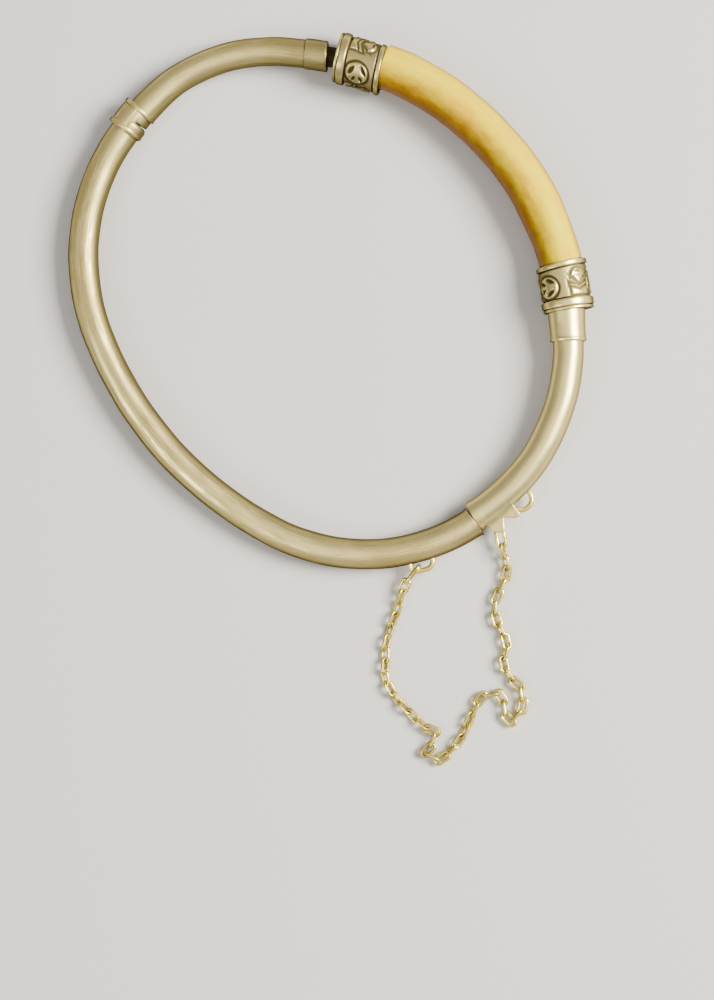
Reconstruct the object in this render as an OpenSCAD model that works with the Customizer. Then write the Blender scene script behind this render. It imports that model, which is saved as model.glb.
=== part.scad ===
// Silver and ivory bangle with embossed collars, hinge, box clasp and safety chain.
// Millimetres. The origin is the middle of the wrist opening, on the surface
// that the bangle lies on, and Z points up out of the opening.

/* [Silver tubes] */
// Outer diameter of the lower and side tubes
tube_d = 3.8; // [3.7:0.05:3.9]
// Outer diameter of the upper tube
upper_tube_d = 3.6; // [3.5:0.05:3.7]
// Wall of the hollow tubes
tube_wall = 0.55; // [0.5:0.05:0.65]
// Small gap between separate pieces
fit_gap = 0.1; // [0.08:0.01:0.15]

/* [Ivory] */
// Diameter of the ivory bar
ivory_d = 5.4; // [5.2:0.1:5.6]
// Diameter of the turned ends that the collars grip
tenon_d = 5; // [4.6:0.1:5.1]

/* [Collars] */
// Length of each embossed collar
collar_l = 5.9; // [5.7:0.1:6.1]
// Radius of the plain band round a collar, the widest part of the bangle
band_r = 3.25; // [3.2:0.05:3.4]
// Radius of the sunk field behind the ornament
field_r = 2.98; // [2.95:0.01:3]
// How far the ornament stands out of its field
relief_h = 0.16; // [0.1:0.02:0.2]

/* [Hinge and clasp] */
// Radius of the flange at each side of the hinge
flange_r = 2.35; // [2.2:0.05:2.4]
// Radius of the hinge pin
pin_r = 0.4; // [0.35:0.05:0.45]
// Diameter of the wire of the two staples
staple_wire_d = 0.5; // [0.45:0.05:0.55]
// Thickness of the fishtail thumb plate
thumb_t = 0.7; // [0.6:0.05:0.75]

/* [Safety chain] */
// Diameter of the link wire
wire_d = 0.3; // [0.24:0.02:0.3]

/* [Hidden] */

$fn = 64;

silver = "#c9c3a6";
dark_silver = "#a39c80";
ivory = "#e6b95c";
gilt = "#e4d58c";

// Centreline of the bangle: tangent arcs, taken against the clock from the clasp.
// Columns: radius, sweep in degrees. The radii given as 0 are worked out below
// so that the loop closes.
arcs = [
    [26.5, 50],
    [37, 36],
    [33, 38],
    [0, 29],
    [22.5, 46],
    [0, 62],
    [48.5, 20],
    [46.5, 22],
    [24, 57],
];
free_a = 3;
free_b = 5;
start_point = [16.6, -28.2];
start_heading = 30.5;

// Cover over each place where two arcs meet
joint_gap = 0.1;
joint_cover_l = 0.8;
joint_cover_scale = 1.006;

// Places along the centreline, as lengths from its start
seam_s = 1.8;
thumb_s = 4.4;
side_staple_s = 7.55;
ferrule_s = 27.9;
collar_right_s = 31.8;
collar_left_s = 78.3;
sleeve_s = 82.4;
hinge_s = 106.95;
lower_staple_s = 188.2;

// Side tube: its ferrule from the tube end to the collar, and the spigot in the
// collar. Columns of the profile: length, radius.
ferrule_l = 4;
ferrule_profile = [[0, 2.22], [0.2, 2.22], [0.45, 2.12], [ferrule_l, 2.36]];
spigot_r = 1.5;
end_wall = 1.2;

// Upper tube: its plain sleeve, and the bore of its spigot
sleeve_l = 2.7;
sleeve_r = 1.95;
spigot_bore_r = 1;

// Hinge: flanges, knuckles on the pin, and the blocks inside them
flange_t = 0.5;
flange_at = 1.2;
knuckle_r = 1.1;
knuckle_out = 1.05;
knuckle_split = 0.6;
knuckle_dome_r = 2.25;
web_from = 0.05;
web_to = 2;
inner_block_r = 2.1;
butt_x = -0.25;
pin_l = 3.4;

// How far pieces of one solid reach into each other, and cuts reach past a face
overlap = 0.2;
past = 1;

// Clasp: the ring at the end of the lower tube, the tongue and the wedge that
// opens the seam on its inner side, in degrees
end_ring_r = 2.05;
end_ring_l = 0.5;
tongue_w = 1.7;
tongue_l = 2.6;
seam_wedge = 4;

// Staples of bent wire. The corners are the bend radii, and z is the height of
// the wire over the plane of the centreline.
side_staple_span = 2.7;
side_staple_reach = 2.93;
side_staple_corners = [1.3, 1.3];
side_staple_z = -0.85;
lower_staple_span = 2.9;
lower_staple_reach = 2.85;
lower_staple_corners = [0.9, 1];

// Thumb plate, from the tube outward. Columns: outward, along the travel.
thumb_z = 0.25;
thumb_outline = [
    [1.35, -2.05], [2.1, -1.8], [2.65, -1.62], [3.1, -1.2], [3.22, -0.7], [3.05, -0.4], [2.6, -0.15],
    [1.98, 0.4], [2.35, 0.9], [2.9, 1.4], [2.98, 1.9], [2.75, 2.28], [1.35, 2.34],
];

// Wire post under the plate, which the last link of the chain goes round
post_out = 2.75;
post_along = -1.15;
post_z = -1.4;
post_bend = 0.5;

// Closing the loop: each arc moves by its radius times its unit chord
headings = [
    for (i = 0, h = start_heading; i <= len(arcs); h = h + (i < len(arcs) ? arcs[i][1] : 0), i = i + 1) h
];
function unit_chord(i) = [
    sin(headings[i + 1]) - sin(headings[i]),
    cos(headings[i]) - cos(headings[i + 1]),
];
function sum(list, i = 0) = i == len(list) - 1 ? list[i] : list[i] + sum(list, i + 1);
fixed_part = sum([for (i = [0 : len(arcs) - 1]) arcs[i][0] * unit_chord(i)]);
chord_a = unit_chord(free_a);
chord_b = unit_chord(free_b);
closing = chord_a.x * chord_b.y - chord_a.y * chord_b.x;
radius_a = (fixed_part.y * chord_b.x - fixed_part.x * chord_b.y) / closing;
radius_b = (fixed_part.x * chord_a.y - fixed_part.y * chord_a.x) / closing;
radii = [for (i = [0 : len(arcs) - 1]) i == free_a ? radius_a : i == free_b ? radius_b : arcs[i][0]];
lengths = [for (i = [0 : len(arcs) - 1]) radii[i] * arcs[i][1] * PI / 180];
starts = [for (i = 0, s = 0; i <= len(arcs); s = s + (i < len(arcs) ? lengths[i] : 0), i = i + 1) s];
corners = [
    for (i = 0, p = start_point; i < len(arcs); p = p + radii[i] * unit_chord(i), i = i + 1) p
];
loop_l = starts[len(arcs)];

// Arc that holds a place, its centre, and the point and heading there
function arc_of(s) = len([for (edge = starts) if (edge <= s) edge]) - 1;
function centre_of(i) = corners[i] + radii[i] * [-sin(headings[i]), cos(headings[i])];
function angle_over(length, radius) = length / radius * 180 / PI;
function heading_at(s) = let (i = arc_of(s)) headings[i] + angle_over(s - starts[i], radii[i]);
function point_at(s) = let (i = arc_of(s), h = heading_at(s)) centre_of(i) + radii[i] * [sin(h), -cos(h)];

// The bangle rests on the bands of both collars and leans until the far tube touches
rest_a = point_at(collar_left_s);
rest_b = point_at(collar_right_s);
rest_axis = (rest_b - rest_a) / norm(rest_b - rest_a);
function from_rest_line(p) = rest_axis.y * (p.x - rest_a.x) - rest_axis.x * (p.y - rest_a.y);
reach = max([for (s = [0 : 0.5 : loop_l - 0.5]) from_rest_line(point_at(s))]);
lean = asin((band_r - tube_d / 2) / reach);

// Lays what is built round the centreline plane into its resting pose
module resting() {
    translate([rest_a.x, rest_a.y, band_r])
        rotate(a = lean, v = [rest_axis.x, rest_axis.y, 0])
            translate([-rest_a.x, -rest_a.y, 0])
                children();
}

// Frame on the centreline: X outward, Y along the travel, Z up
module at(s) {
    p = point_at(s);
    translate([p.x, p.y, 0])
        rotate(heading_at(s) - 90)
            children();
}

// Sweeps a flat section along the centreline, X outward and Y up. The arcs stop
// just short of each place where two of them meet, and a short straight ferrule,
// a hair wider than the section, covers that place
module along(from, to) {
    for (i = [0 : len(arcs)]) {
        k = i % len(arcs);
        end = starts[i] + lengths[k];
        a = from < starts[i] ? starts[i] + joint_gap : from;
        b = to > end ? end - joint_gap : to;
        if (b > a)
            translate(centre_of(k))
                rotate(headings[k] - 90 + angle_over(a - starts[i], radii[k]))
                    rotate_extrude(angle = angle_over(b - a, radii[k]))
                        translate([radii[k], 0])
                            children();
        if (from < starts[i] && starts[i] < to)
            translate(corners[k])
                rotate([90, 0, headings[k] + 90])
                    linear_extrude(joint_cover_l, center = true)
                        scale(joint_cover_scale)
                            children();
    }
}

// Points the Z axis of its child along the travel
module turned() {
    rotate([-90, 0, 0])
        children();
}

// Collars
collar_right_middle = collar_right_s + collar_l / 2;
collar_left_middle = collar_left_s - collar_l / 2;

// Steps of the outside, from the tube end. Columns: length, radius.
collar_steps = [
    [0.35, 3.15],
    [0.15, 2.95],
    [0.95, band_r],
    [0.15, 2.95],
    [collar_l - 2.3, field_r],
    [0.15, 2.9],
    [0.55, 3.15],
];
step_ends = [
    for (i = 0, u = 0; i < len(collar_steps); u = u + collar_steps[i][0], i = i + 1) u + collar_steps[i][0]
];
field_from = step_ends[3];
field_to = step_ends[4];

module collar_outline() {
    outside = [
        for (i = [0 : len(collar_steps) - 1])
            each [
                [collar_steps[i][1], step_ends[i] - collar_steps[i][0]],
                [collar_steps[i][1], step_ends[i]],
            ]
    ];
    polygon(concat([[0, 0]], outside, [[0, collar_l]]));
}

// Motifs round the field, their sizes, and how they are set into it
motifs = 6;
medallion_r = 1.42;
bud_r = 0.8;
eye_l = 0.7;
eye_w = 0.25;
relief_rim = 0.05;
relief_root = 0.15;
turn_right = -2;
turn_left = 4;

// Pointed leaf made of two circles, its base at the origin and its tip on +Y
module leaf(length, width) {
    r = (length * length + width * width) / (4 * width);
    translate([0, length / 2])
        intersection() {
            translate([r - width / 2, 0]) circle(r);
            translate([width / 2 - r, 0]) circle(r);
        }
}

// Sunk cells of the medallion's leaf. Columns: x, y, turn, length, width.
leaf_cells = [
    [0.4, 0.62, 28, 1.1, 0.46],
    [0.4, -0.62, -28, 1.1, 0.46],
    [-0.74, 0.38, 24, 0.86, 0.38],
    [-0.74, -0.38, -24, 0.86, 0.38],
];

// Round medallion, a veined leaf drawn on it by four sunk cells
module medallion() {
    difference() {
        circle(medallion_r);
        for (cell = leaf_cells)
            translate([cell[0], cell[1]])
                rotate(cell[2])
                    translate([0, -cell[3] / 2])
                        leaf(cell[3], cell[4]);
    }
}

// Bud with an oval eye, over a chevron and a bell-shaped foot
bud_at = 0.85;
bud_point = [[-0.7, 0.45], [0.7, 0.45], [0, -0.25]];
eye_at = [-0.35, 1];
chevron = [[0, -0.4], [0.95, 0.1], [1.05, -0.2], [0, -0.7], [-1.05, -0.2], [-0.95, 0.1]];
bell_foot = [
    [-0.95, -0.6], [0, -0.9], [0.95, -0.6], [0.75, -1.2], [0.35, -1.6], [-0.35, -1.6], [-0.75, -1.2],
];

module palmette() {
    difference() {
        union() {
            translate([0, bud_at]) circle(bud_r);
            polygon(bud_point);
        }
        translate(eye_at)
            rotate(-90)
                leaf(eye_l, eye_w);
    }
    polygon(chevron);
    polygon(bell_foot);
}

// Ornament round the collar's field: three medallions and three palmettes
module collar_relief() {
    intersection() {
        translate([0, 0, field_from + relief_rim])
            cylinder(r = field_r + relief_h, h = field_to - field_from - 2 * relief_rim);
        translate([0, 0, (field_from + field_to) / 2])
            for (i = [0 : motifs - 1])
                rotate(360 / motifs * i)
                    rotate([90, 0, 90])
                        translate([0, 0, field_r - relief_root])
                            linear_extrude(1) {
                                if (i % 2 == 0) medallion();
                                else palmette();
                            }
    }
}

// Collar in its own frame, the tube end at the bottom
module collar_solid(turn) {
    rotate_extrude() collar_outline();
    rotate(turn) collar_relief();
}

// Room that a straight collar takes up, with the small gap at both of its ends
module collar_room(middle) {
    at(middle)
        turned()
            cylinder(r = band_r + past, h = collar_l + 2 * fit_gap, center = true);
}

module collar_right() {
    tip = collar_right_s + collar_l;
    color(silver)
        resting()
            difference() {
                at(collar_right_middle) turned() translate([0, 0, -collar_l / 2]) collar_solid(turn_right);
                along(collar_right_s + end_wall, tip + past) circle(tenon_d / 2 + fit_gap);
                along(collar_right_s - past, collar_right_s + end_wall + past) circle(spigot_r + fit_gap);
            }
}

module collar_left() {
    tip = collar_left_s - collar_l;
    color(silver)
        resting()
            difference() {
                at(collar_left_middle)
                    turned()
                        rotate([180, 0, 0])
                            translate([0, 0, -collar_l / 2])
                                collar_solid(turn_left);
                along(tip - past, collar_left_s - end_wall) circle(tenon_d / 2 + fit_gap);
                along(collar_left_s - end_wall - past, collar_left_s + past) circle(spigot_r + fit_gap);
            }
}

// Ivory bar with a turned-down tenon at each end, its shoulders flat to the collars
module ivory_arc() {
    grip = end_wall + fit_gap;
    color(ivory)
        resting() {
            difference() {
                along(collar_right_middle, collar_left_middle) circle(ivory_d / 2);
                collar_room(collar_right_middle);
                collar_room(collar_left_middle);
            }
            along(collar_right_s + grip, collar_left_s - grip) circle(tenon_d / 2);
        }
}

// Where a wire at a height over the plane is rooted in the middle of the tube wall
function root_at(z) = sqrt(pow((tube_d - tube_wall) / 2, 2) - z * z);

// Wire staple across the travel, its legs sunk into the tube wall. The corner
// nearer the centreline's start comes first.
module staple(span, reach, corners, z) {
    half = span / 2;
    foot = root_at(z);
    translate([0, 0, z])
        for (side = [0, 1]) {
            corner = corners[side];
            mirror([0, 1 - side, 0]) {
                translate([foot, half, 0])
                    rotate([0, 90, 0])
                        cylinder(d = staple_wire_d, h = reach - corner - foot);
                translate([reach - corner, half - corner, 0])
                    rotate_extrude(angle = 90)
                        translate([corner, 0])
                            circle(d = staple_wire_d);
                translate([reach, 0, 0])
                    rotate([-90, 0, 0])
                        cylinder(d = staple_wire_d, h = half - corner);
            }
        }
}

// Post under the thumb plate: out of the tube wall, round a bend, up into the plate
module chain_post() {
    bend_z = post_z + post_bend;
    translate([root_at(post_z), 0, post_z])
        rotate([0, 90, 0])
            cylinder(d = staple_wire_d, h = post_out - post_bend - root_at(post_z));
    translate([post_out - post_bend, 0, bend_z])
        rotate([-90, 0, 0])
            rotate_extrude(angle = 90)
                translate([post_bend, 0])
                    circle(d = staple_wire_d);
    translate([post_out, 0, bend_z])
        cylinder(d = staple_wire_d, h = thumb_z + thumb_t / 2 - bend_z);
}

// Fishtail thumb plate, two lobes with a notch between them
module fishtail() {
    linear_extrude(thumb_t)
        polygon(thumb_outline);
}

// Flared ferrule at the end of the side tube, straight, turned as one piece
module ferrule() {
    outside = [for (step = ferrule_profile) [step[1], step[0]]];
    rotate_extrude()
        polygon(concat([[0, 0]], outside, [[0, ferrule_l]]));
}

module side_tube() {
    first = seam_s + fit_gap / 2;
    color(silver)
        resting()
            difference() {
                union() {
                    along(first, ferrule_s + past) circle(tube_d / 2);
                    difference() {
                        at(ferrule_s + ferrule_l / 2) turned() translate([0, 0, -ferrule_l / 2]) ferrule();
                        collar_room(collar_right_middle);
                    }
                    along(ferrule_s + past, collar_right_s + end_wall - fit_gap) circle(spigot_r);
                    at(thumb_s) translate([0, 0, thumb_z]) fishtail();
                    at(thumb_s) translate([0, post_along, 0]) chain_post();
                    at(side_staple_s)
                        staple(side_staple_span, side_staple_reach, side_staple_corners, side_staple_z);
                }
                along(first - past, ferrule_s + ferrule_l - past) circle(tube_d / 2 - tube_wall);
            }
}

// Knuckles of the hinge: a barrel on the pin and a web to the flange.
// dir is 1 towards the lower tube and -1 towards the upper tube.
module knuckle(z_from, z_to, dir) {
    translate([knuckle_out, 0, z_from])
        cylinder(r = knuckle_r, h = z_to - z_from);
    translate([web_from, dir > 0 ? 0 : -flange_at - overlap, z_from])
        cube([web_to - web_from, flange_at + overlap, z_to - z_from]);
}

module pin_hole() {
    translate([knuckle_out, 0, 0])
        cylinder(r = pin_r + fit_gap, h = pin_l + 2 * past, center = true);
}

// Room on the inner side of the hinge, where the two blocks meet
module inner_side() {
    at(hinge_s)
        translate([butt_x - tube_d, -tube_d / 2, -tube_d])
            cube([tube_d, tube_d, 2 * tube_d]);
}

module upper_tube() {
    tip = hinge_s - flange_at;
    spigot_tip = collar_left_s - end_wall + fit_gap;
    color(silver)
        resting()
            difference() {
                union() {
                    along(sleeve_s - overlap, tip) circle(upper_tube_d / 2);
                    along(sleeve_s - sleeve_l, sleeve_s) circle(sleeve_r);
                    along(spigot_tip, sleeve_s - sleeve_l + overlap) circle(spigot_r);
                    along(tip - flange_t, tip) circle(flange_r - fit_gap / 2);
                    intersection() {
                        along(tip - overlap, hinge_s - fit_gap) circle(upper_tube_d / 2);
                        inner_side();
                    }
                    intersection() {
                        at(hinge_s) knuckle(fit_gap - knuckle_split, knuckle_split - fit_gap, -1);
                        along(tip - overlap, hinge_s + tube_d / 2) circle(knuckle_dome_r);
                    }
                }
                at(hinge_s) pin_hole();
                along(sleeve_s - past, tip - 2 * past) circle(upper_tube_d / 2 - tube_wall);
                along(spigot_tip - past, sleeve_s) circle(spigot_bore_r);
            }
}

module lower_tube() {
    first = hinge_s + flange_at;
    last = loop_l + seam_s - fit_gap / 2;
    color(silver)
        resting()
            difference() {
                union() {
                    along(first, last) circle(tube_d / 2);
                    along(first, first + flange_t) circle(flange_r);
                    along(last - end_ring_l, last) circle(end_ring_r);
                    intersection() {
                        along(hinge_s + fit_gap, first + overlap) circle(inner_block_r);
                        inner_side();
                    }
                    for (side = [0, 1])
                        intersection() {
                            at(hinge_s) mirror([0, 0, side]) knuckle(knuckle_split, tube_d, 1);
                            along(hinge_s - tube_d / 2, first + overlap) circle(knuckle_dome_r);
                        }
                    at(lower_staple_s)
                        staple(lower_staple_span, lower_staple_reach, lower_staple_corners, 0);
                }
                at(hinge_s) pin_hole();
                along(first + 2 * past, last + past) circle(tube_d / 2 - tube_wall);
                at(seam_s)
                    translate([tube_d / 2, -fit_gap / 2, 0])
                        rotate(seam_wedge)
                            translate([-2 * tube_d, 0, -tube_d])
                                cube([3 * tube_d, past, 2 * tube_d]);
            }
}

// Pin through the three knuckles, its ends just under the domed top and bottom
module hinge_pin() {
    color(dark_silver)
        resting()
            at(hinge_s)
                translate([knuckle_out, 0, 0])
                    cylinder(r = pin_r, h = pin_l, center = true);
}

// Plain tongue inside both tube ends at the clasp
module clasp_tongue() {
    color(dark_silver)
        resting()
            along(loop_l + seam_s - tongue_l, loop_l + seam_s + tongue_l) square(tongue_w, center = true);
}

// Safety chain
link_w = 1.1;
link_l = 1.97;
link_count = 47;
end_ring_scale = 1.4;
seat = 0.5;
route_steps = 40;

// Route of the chain along the surface, chosen by hand from the lower staple to
// the post under the thumb plate. Columns: x, y, z, turn of the flat links about the travel.
route = [
    [11.1, -32.9, 2.3, 0],
    [9.8, -34.4, 1.8, 0],
    [8.9, -36.1, 1.1, 10],
    [8.4, -37.9, 0.72, 40],
    [7.8, -39.6, 0.6, 45],
    [7.2, -41.3, 0.6, 45],
    [6.8, -42.8, 0.6, 35],
    [6.8, -44.7, 0.6, 35],
    [6.7, -46.2, 0.6, 45],
    [7.0, -47.5, 0.6, 45],
    [7.8, -48.9, 0.6, 55],
    [8.8, -50.1, 0.6, 45],
    [9.8, -51.1, 0.6, 35],
    [10.7, -52.0, 0.64, 40],
    [11.8, -53.0, 0.72, 20],
    [13.0, -53.5, 0.74, 0],
    [14.1, -53.8, 0.74, 5],
    [14.0, -54.9, 0.74, 0],
    [12.5, -55.4, 0.74, 0],
    [11.5, -56.5, 0.74, 0],
    [11.8, -57.4, 0.74, 0],
    [13.1, -57.2, 0.74, 0],
    [14.3, -56.5, 0.74, 0],
    [15.3, -55.5, 0.72, 20],
    [16.2, -54.3, 0.64, 40],
    [16.9, -53.0, 0.6, 35],
    [17.4, -51.7, 0.66, 40],
    [18.1, -50.4, 0.72, 25],
    [18.7, -49.2, 0.74, 0],
    [20.2, -48.7, 0.74, 0],
    [21.3, -49.0, 0.74, 0],
    [21.6, -50.3, 0.74, 0],
    [22.0, -51.9, 0.74, 0],
    [23.0, -52.2, 0.74, 0],
    [23.7, -51.1, 0.74, 0],
    [24.0, -49.5, 0.74, -5],
    [23.8, -48.1, 0.74, 0],
    [22.8, -47.2, 0.74, 0],
    [21.9, -46.0, 0.72, 20],
    [21.5, -44.6, 0.7, 30],
    [22.0, -43.2, 0.7, 25],
    [21.7, -41.7, 0.7, 20],
    [21.0, -40.5, 0.7, 20],
    [20.6, -39.2, 0.72, 10],
    [20.1, -37.8, 0.74, 0],
    [20.8, -36.7, 0.74, 0],
    [21.2, -35.5, 0.74, 0],
    [21.8, -34.3, 0.7, 20],
    [22.0, -32.9, 0.95, 30],
    [21.7, -31.6, 1.2, 55],
    [21.4, -30.4, 1.65, 85],
    [21.2, -29.5, 1.85, 60],
    [21.0, -27.8, 1.8, 95],
];

// Smooth curve through four route rows, at fraction t between the middle two
function blend(a, b, c, d, t) =
    (2 * b + (c - a) * t + (2 * a - 5 * b + 4 * c - d) * t * t + (3 * b - a - 3 * c + d) * t * t * t) / 2;
function row(i) = route[min(max(i, 0), len(route) - 1)];
smooth_route = [
    for (i = [0 : len(route) - 2])
        for (j = [0 : route_steps - 1])
            blend(row(i - 1), row(i), row(i + 1), row(i + 2), j / route_steps),
    route[len(route) - 1],
];
function place(i) = let (p = smooth_route[i]) [p[0], p[1], p[2]];

// Pivots between links: the upright links span their full length, the flat links
// between them span two seats less, so that each hooks round its neighbour's end.
// The first and the last link are larger rings, round the staple and the post.
function next_pivot(from, i, step) =
    i >= len(smooth_route) ? -1
    : norm(place(i) - place(from)) >= step ? i
    : next_pivot(from, i + 1, step);
function scale_of(k) = k == 0 || k == link_count - 1 ? end_ring_scale : 1;
function step_of(k) = k % 2 == 0 ? link_l * scale_of(k) : link_l - 2 * seat;
pivots = [
    for (k = 0, i = 0; i >= 0 && k <= link_count; i = next_pivot(i, i + 1, step_of(k)), k = k + 1) i
];

// Oval link in the XY plane, its length on X
module oval_link() {
    bend = link_w / 2;
    straight = link_l - link_w;
    for (side = [0, 180])
        rotate(side) {
            translate([straight / 2, 0, 0])
                rotate(-90)
                    rotate_extrude(angle = 180)
                        translate([bend, 0])
                            circle(d = wire_d);
            translate([-straight / 2, bend, 0])
                rotate([0, 90, 0])
                    cylinder(d = wire_d, h = straight);
        }
}

// Lays a child from pivot a to pivot b, turned about the travel
module laid(a, b, turn) {
    middle = (a + b) / 2;
    travel = (b - a) / norm(b - a);
    level = cross([0, 0, 1], travel) / norm(cross([0, 0, 1], travel));
    wide = level * cos(turn) + cross(travel, level) * sin(turn);
    face = cross(travel, wide);
    multmatrix([
        [travel.x, wide.x, face.x, middle.x],
        [travel.y, wide.y, face.y, middle.y],
        [travel.z, wide.z, face.z, middle.z],
        [0, 0, 0, 1],
    ])
        children();
}

module safety_chain() {
    color(gilt)
        for (k = [0 : link_count - 1]) {
            turn = (smooth_route[pivots[k]][3] + smooth_route[pivots[k + 1]][3]) / 2;
            laid(place(pivots[k]), place(pivots[k + 1]), k % 2 == 0 ? turn + 90 : turn)
                scale(scale_of(k))
                    oval_link();
        }
}

side_tube();
collar_right();
ivory_arc();
collar_left();
upper_tube();
lower_tube();
hinge_pin();
clasp_tongue();
safety_chain();
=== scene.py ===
"""Silver and ivory bangle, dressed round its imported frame.

Every visible surface is worked out here with numpy as a function of two
parameters, in millimetres, and written to a mesh in metres. Most of the bangle
is described in straightened coordinates: a length along the centreline, a
distance outward from it and a height above its plane.
"""

from __future__ import annotations

import logging
from collections.abc import Callable
from dataclasses import dataclass, field
from enum import Enum

import bpy
import numpy as np
from mathutils import Matrix

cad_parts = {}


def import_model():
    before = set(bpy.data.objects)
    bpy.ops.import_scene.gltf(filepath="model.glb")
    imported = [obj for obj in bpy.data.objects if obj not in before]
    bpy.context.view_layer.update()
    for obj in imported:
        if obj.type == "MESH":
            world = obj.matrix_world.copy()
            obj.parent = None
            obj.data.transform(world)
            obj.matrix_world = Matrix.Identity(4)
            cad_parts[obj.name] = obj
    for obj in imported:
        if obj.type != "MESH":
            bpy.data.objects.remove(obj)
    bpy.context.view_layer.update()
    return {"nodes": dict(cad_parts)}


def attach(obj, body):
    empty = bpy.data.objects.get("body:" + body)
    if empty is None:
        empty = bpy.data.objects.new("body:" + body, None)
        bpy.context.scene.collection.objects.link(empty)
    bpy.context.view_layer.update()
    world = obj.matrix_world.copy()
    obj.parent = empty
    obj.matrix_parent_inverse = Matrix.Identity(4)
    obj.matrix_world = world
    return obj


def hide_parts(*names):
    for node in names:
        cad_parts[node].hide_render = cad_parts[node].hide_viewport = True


LOG = logging.getLogger("bangle")
METRES = 0.001
ROOT = "root"
SHARP_DEGREES = 42.0
CORE_R = 0.4
MIX_A, MIX_B, MIX_OUT = 6, 7, 2

Array = np.ndarray
Material = bpy.types.Material
Piece = bpy.types.Object
Socket = bpy.types.NodeSocket
Shift = Callable[[Array, Array], Array]
Colour = tuple[float, float, float, float]
Pair = tuple[float, float]
Triple = tuple[float, float, float]
Rows = tuple[Pair, ...]


class Slot(Enum):
    """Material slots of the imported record."""

    SILVER = "silver"
    IVORY = "ivory"
    GILT = "gilt"


@dataclass
class Centreline:
    """Middle line of the bangle: tangent arcs that close on themselves.

    The line is taken against the clock from the clasp. Two radii are free and
    are solved so that the loop closes. The whole leans a little, because the
    bangle rests on the bands of both collars and on the far tube.
    """

    radii: tuple[float, ...] = (26.5, 37.0, 33.0, 0.0, 22.5, 0.0, 48.5, 46.5, 24.0)
    sweeps: tuple[float, ...] = (50.0, 36.0, 38.0, 29.0, 46.0, 62.0, 20.0, 22.0, 57.0)
    free: tuple[int, int] = (3, 5)
    start: Pair = (16.6, -28.2)
    start_heading: float = 30.5
    rests_at: Pair = (78.3, 31.8)
    band_r: float = 3.25
    tube_r: float = 1.9
    heading: Array = field(init=False)
    radius: Array = field(init=False)
    begins: Array = field(init=False)
    centre: Array = field(init=False)
    turn: Array = field(init=False)
    foot: Array = field(init=False)

    def __post_init__(self) -> None:
        """Solves the two free radii and the lean of the resting bangle."""
        self.heading = np.radians(self.start_heading + np.concatenate([[0.0], np.cumsum(self.sweeps)]))
        self.radius = np.array(self.radii)
        a, b = self.heading[:-1], self.heading[1:]
        chord = np.stack([np.sin(b) - np.sin(a), np.cos(a) - np.cos(b)], axis=1)
        gap = (self.radius[:, None] * chord).sum(axis=0)
        i, j = self.free
        closing = chord[i, 0] * chord[j, 1] - chord[i, 1] * chord[j, 0]
        self.radius[i] = (gap[1] * chord[j, 0] - gap[0] * chord[j, 1]) / closing
        self.radius[j] = (gap[0] * chord[i, 1] - gap[1] * chord[i, 0]) / closing
        steps = self.radius[:, None] * chord
        corner = np.array(self.start) + np.concatenate([[[0.0, 0.0]], np.cumsum(steps, axis=0)[:-1]])
        self.begins = np.concatenate([[0.0], np.cumsum(self.radius * np.radians(self.sweeps))])
        self.centre = corner + self.radius[:, None] * np.stack([-np.sin(a), np.cos(a)], axis=1)
        self._lean()

    def _lean(self) -> None:
        """Turns the plane about the line through both resting places until the far tube touches."""
        step = 0.5
        first, second = (self.flat(np.array(s))[0] for s in self.rests_at)
        axis = (second - first) / np.linalg.norm(second - first)
        across = self.flat(np.arange(0.0, self.begins[-1] - step, step))[0] - first
        reach = np.max(axis[1] * across[:, 0] - axis[0] * across[:, 1])
        lean = np.arcsin((self.band_r - self.tube_r) / reach)
        self.turn = np.array(Matrix.Rotation(lean, 3, (axis[0], axis[1], 0.0)))
        self.foot = np.array([first[0], first[1], 0.0])

    def flat(self, s: Array) -> tuple[Array, Array, Array]:
        """Point, outward and travel directions in the plane of the loop.

        A point lies at the arc's centre plus its radius times the outward
        direction (sin h, -cos h), where h is the heading.

        Args:
            s: lengths from the start of the line, of any shape.

        Returns:
            Arrays of the shape of s with a last axis of two.
        """
        s = np.mod(s, self.begins[-1])
        arc = np.clip(np.searchsorted(self.begins, s, side="right") - 1, 0, len(self.radii) - 1)
        radius = self.radius[arc]
        h = self.heading[arc] + (s - self.begins[arc]) / radius
        outward = np.stack([np.sin(h), -np.cos(h)], axis=-1)
        return self.centre[arc] + radius[..., None] * outward, outward, spokes(h)

    def place(self, s: Array | float, along: Array | float, out: Array, up: Array) -> Array:
        """Carries coordinates from straight frames on the line into the resting pose.

        The points are turned by the lean and lifted to the height of the bands.

        Args:
            s: length along the line of each point's frame, or of one for all.
            along: distances along the frame's travel.
            out: distances outward.
            up: heights over the plane of the loop.

        Returns:
            Points with a last axis of three.
        """
        along, out, up = np.broadcast_arrays(along, out, up)
        point, outward, travel = self.flat(np.asarray(s))
        level = point + out[..., None] * outward + along[..., None] * travel
        points = np.concatenate([level, up[..., None]], axis=-1)
        return (points - self.foot) @ self.turn.T + self.foot + np.array([0.0, 0.0, self.band_r])


def spokes(angle: Array) -> Array:
    """Unit vectors (cos a, sin a), with a last axis of two."""
    return np.stack([np.cos(angle), np.sin(angle)], axis=-1)


def unit(vectors: Array) -> Array:
    """Vectors of the length 1, along the last axis."""
    return vectors / np.linalg.norm(vectors, axis=-1, keepdims=True)


def full_turn(count: int) -> Array:
    """Evenly spaced angles of a full turn."""
    return np.linspace(0.0, 2.0 * np.pi, count, endpoint=False)


def circle_angles(count: int) -> Array:
    """Evenly spaced angles of a full turn, starting underneath."""
    return full_turn(count) - np.pi / 2


def quarter_round(middle: Pair, radius: float, steps: int, starts: float = -90.0) -> Array:
    """Points of a quarter circle, against the clock from an angle in degrees."""
    return np.array(middle) + radius * spokes(np.radians(np.linspace(starts, starts + 90.0, steps)))


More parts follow.
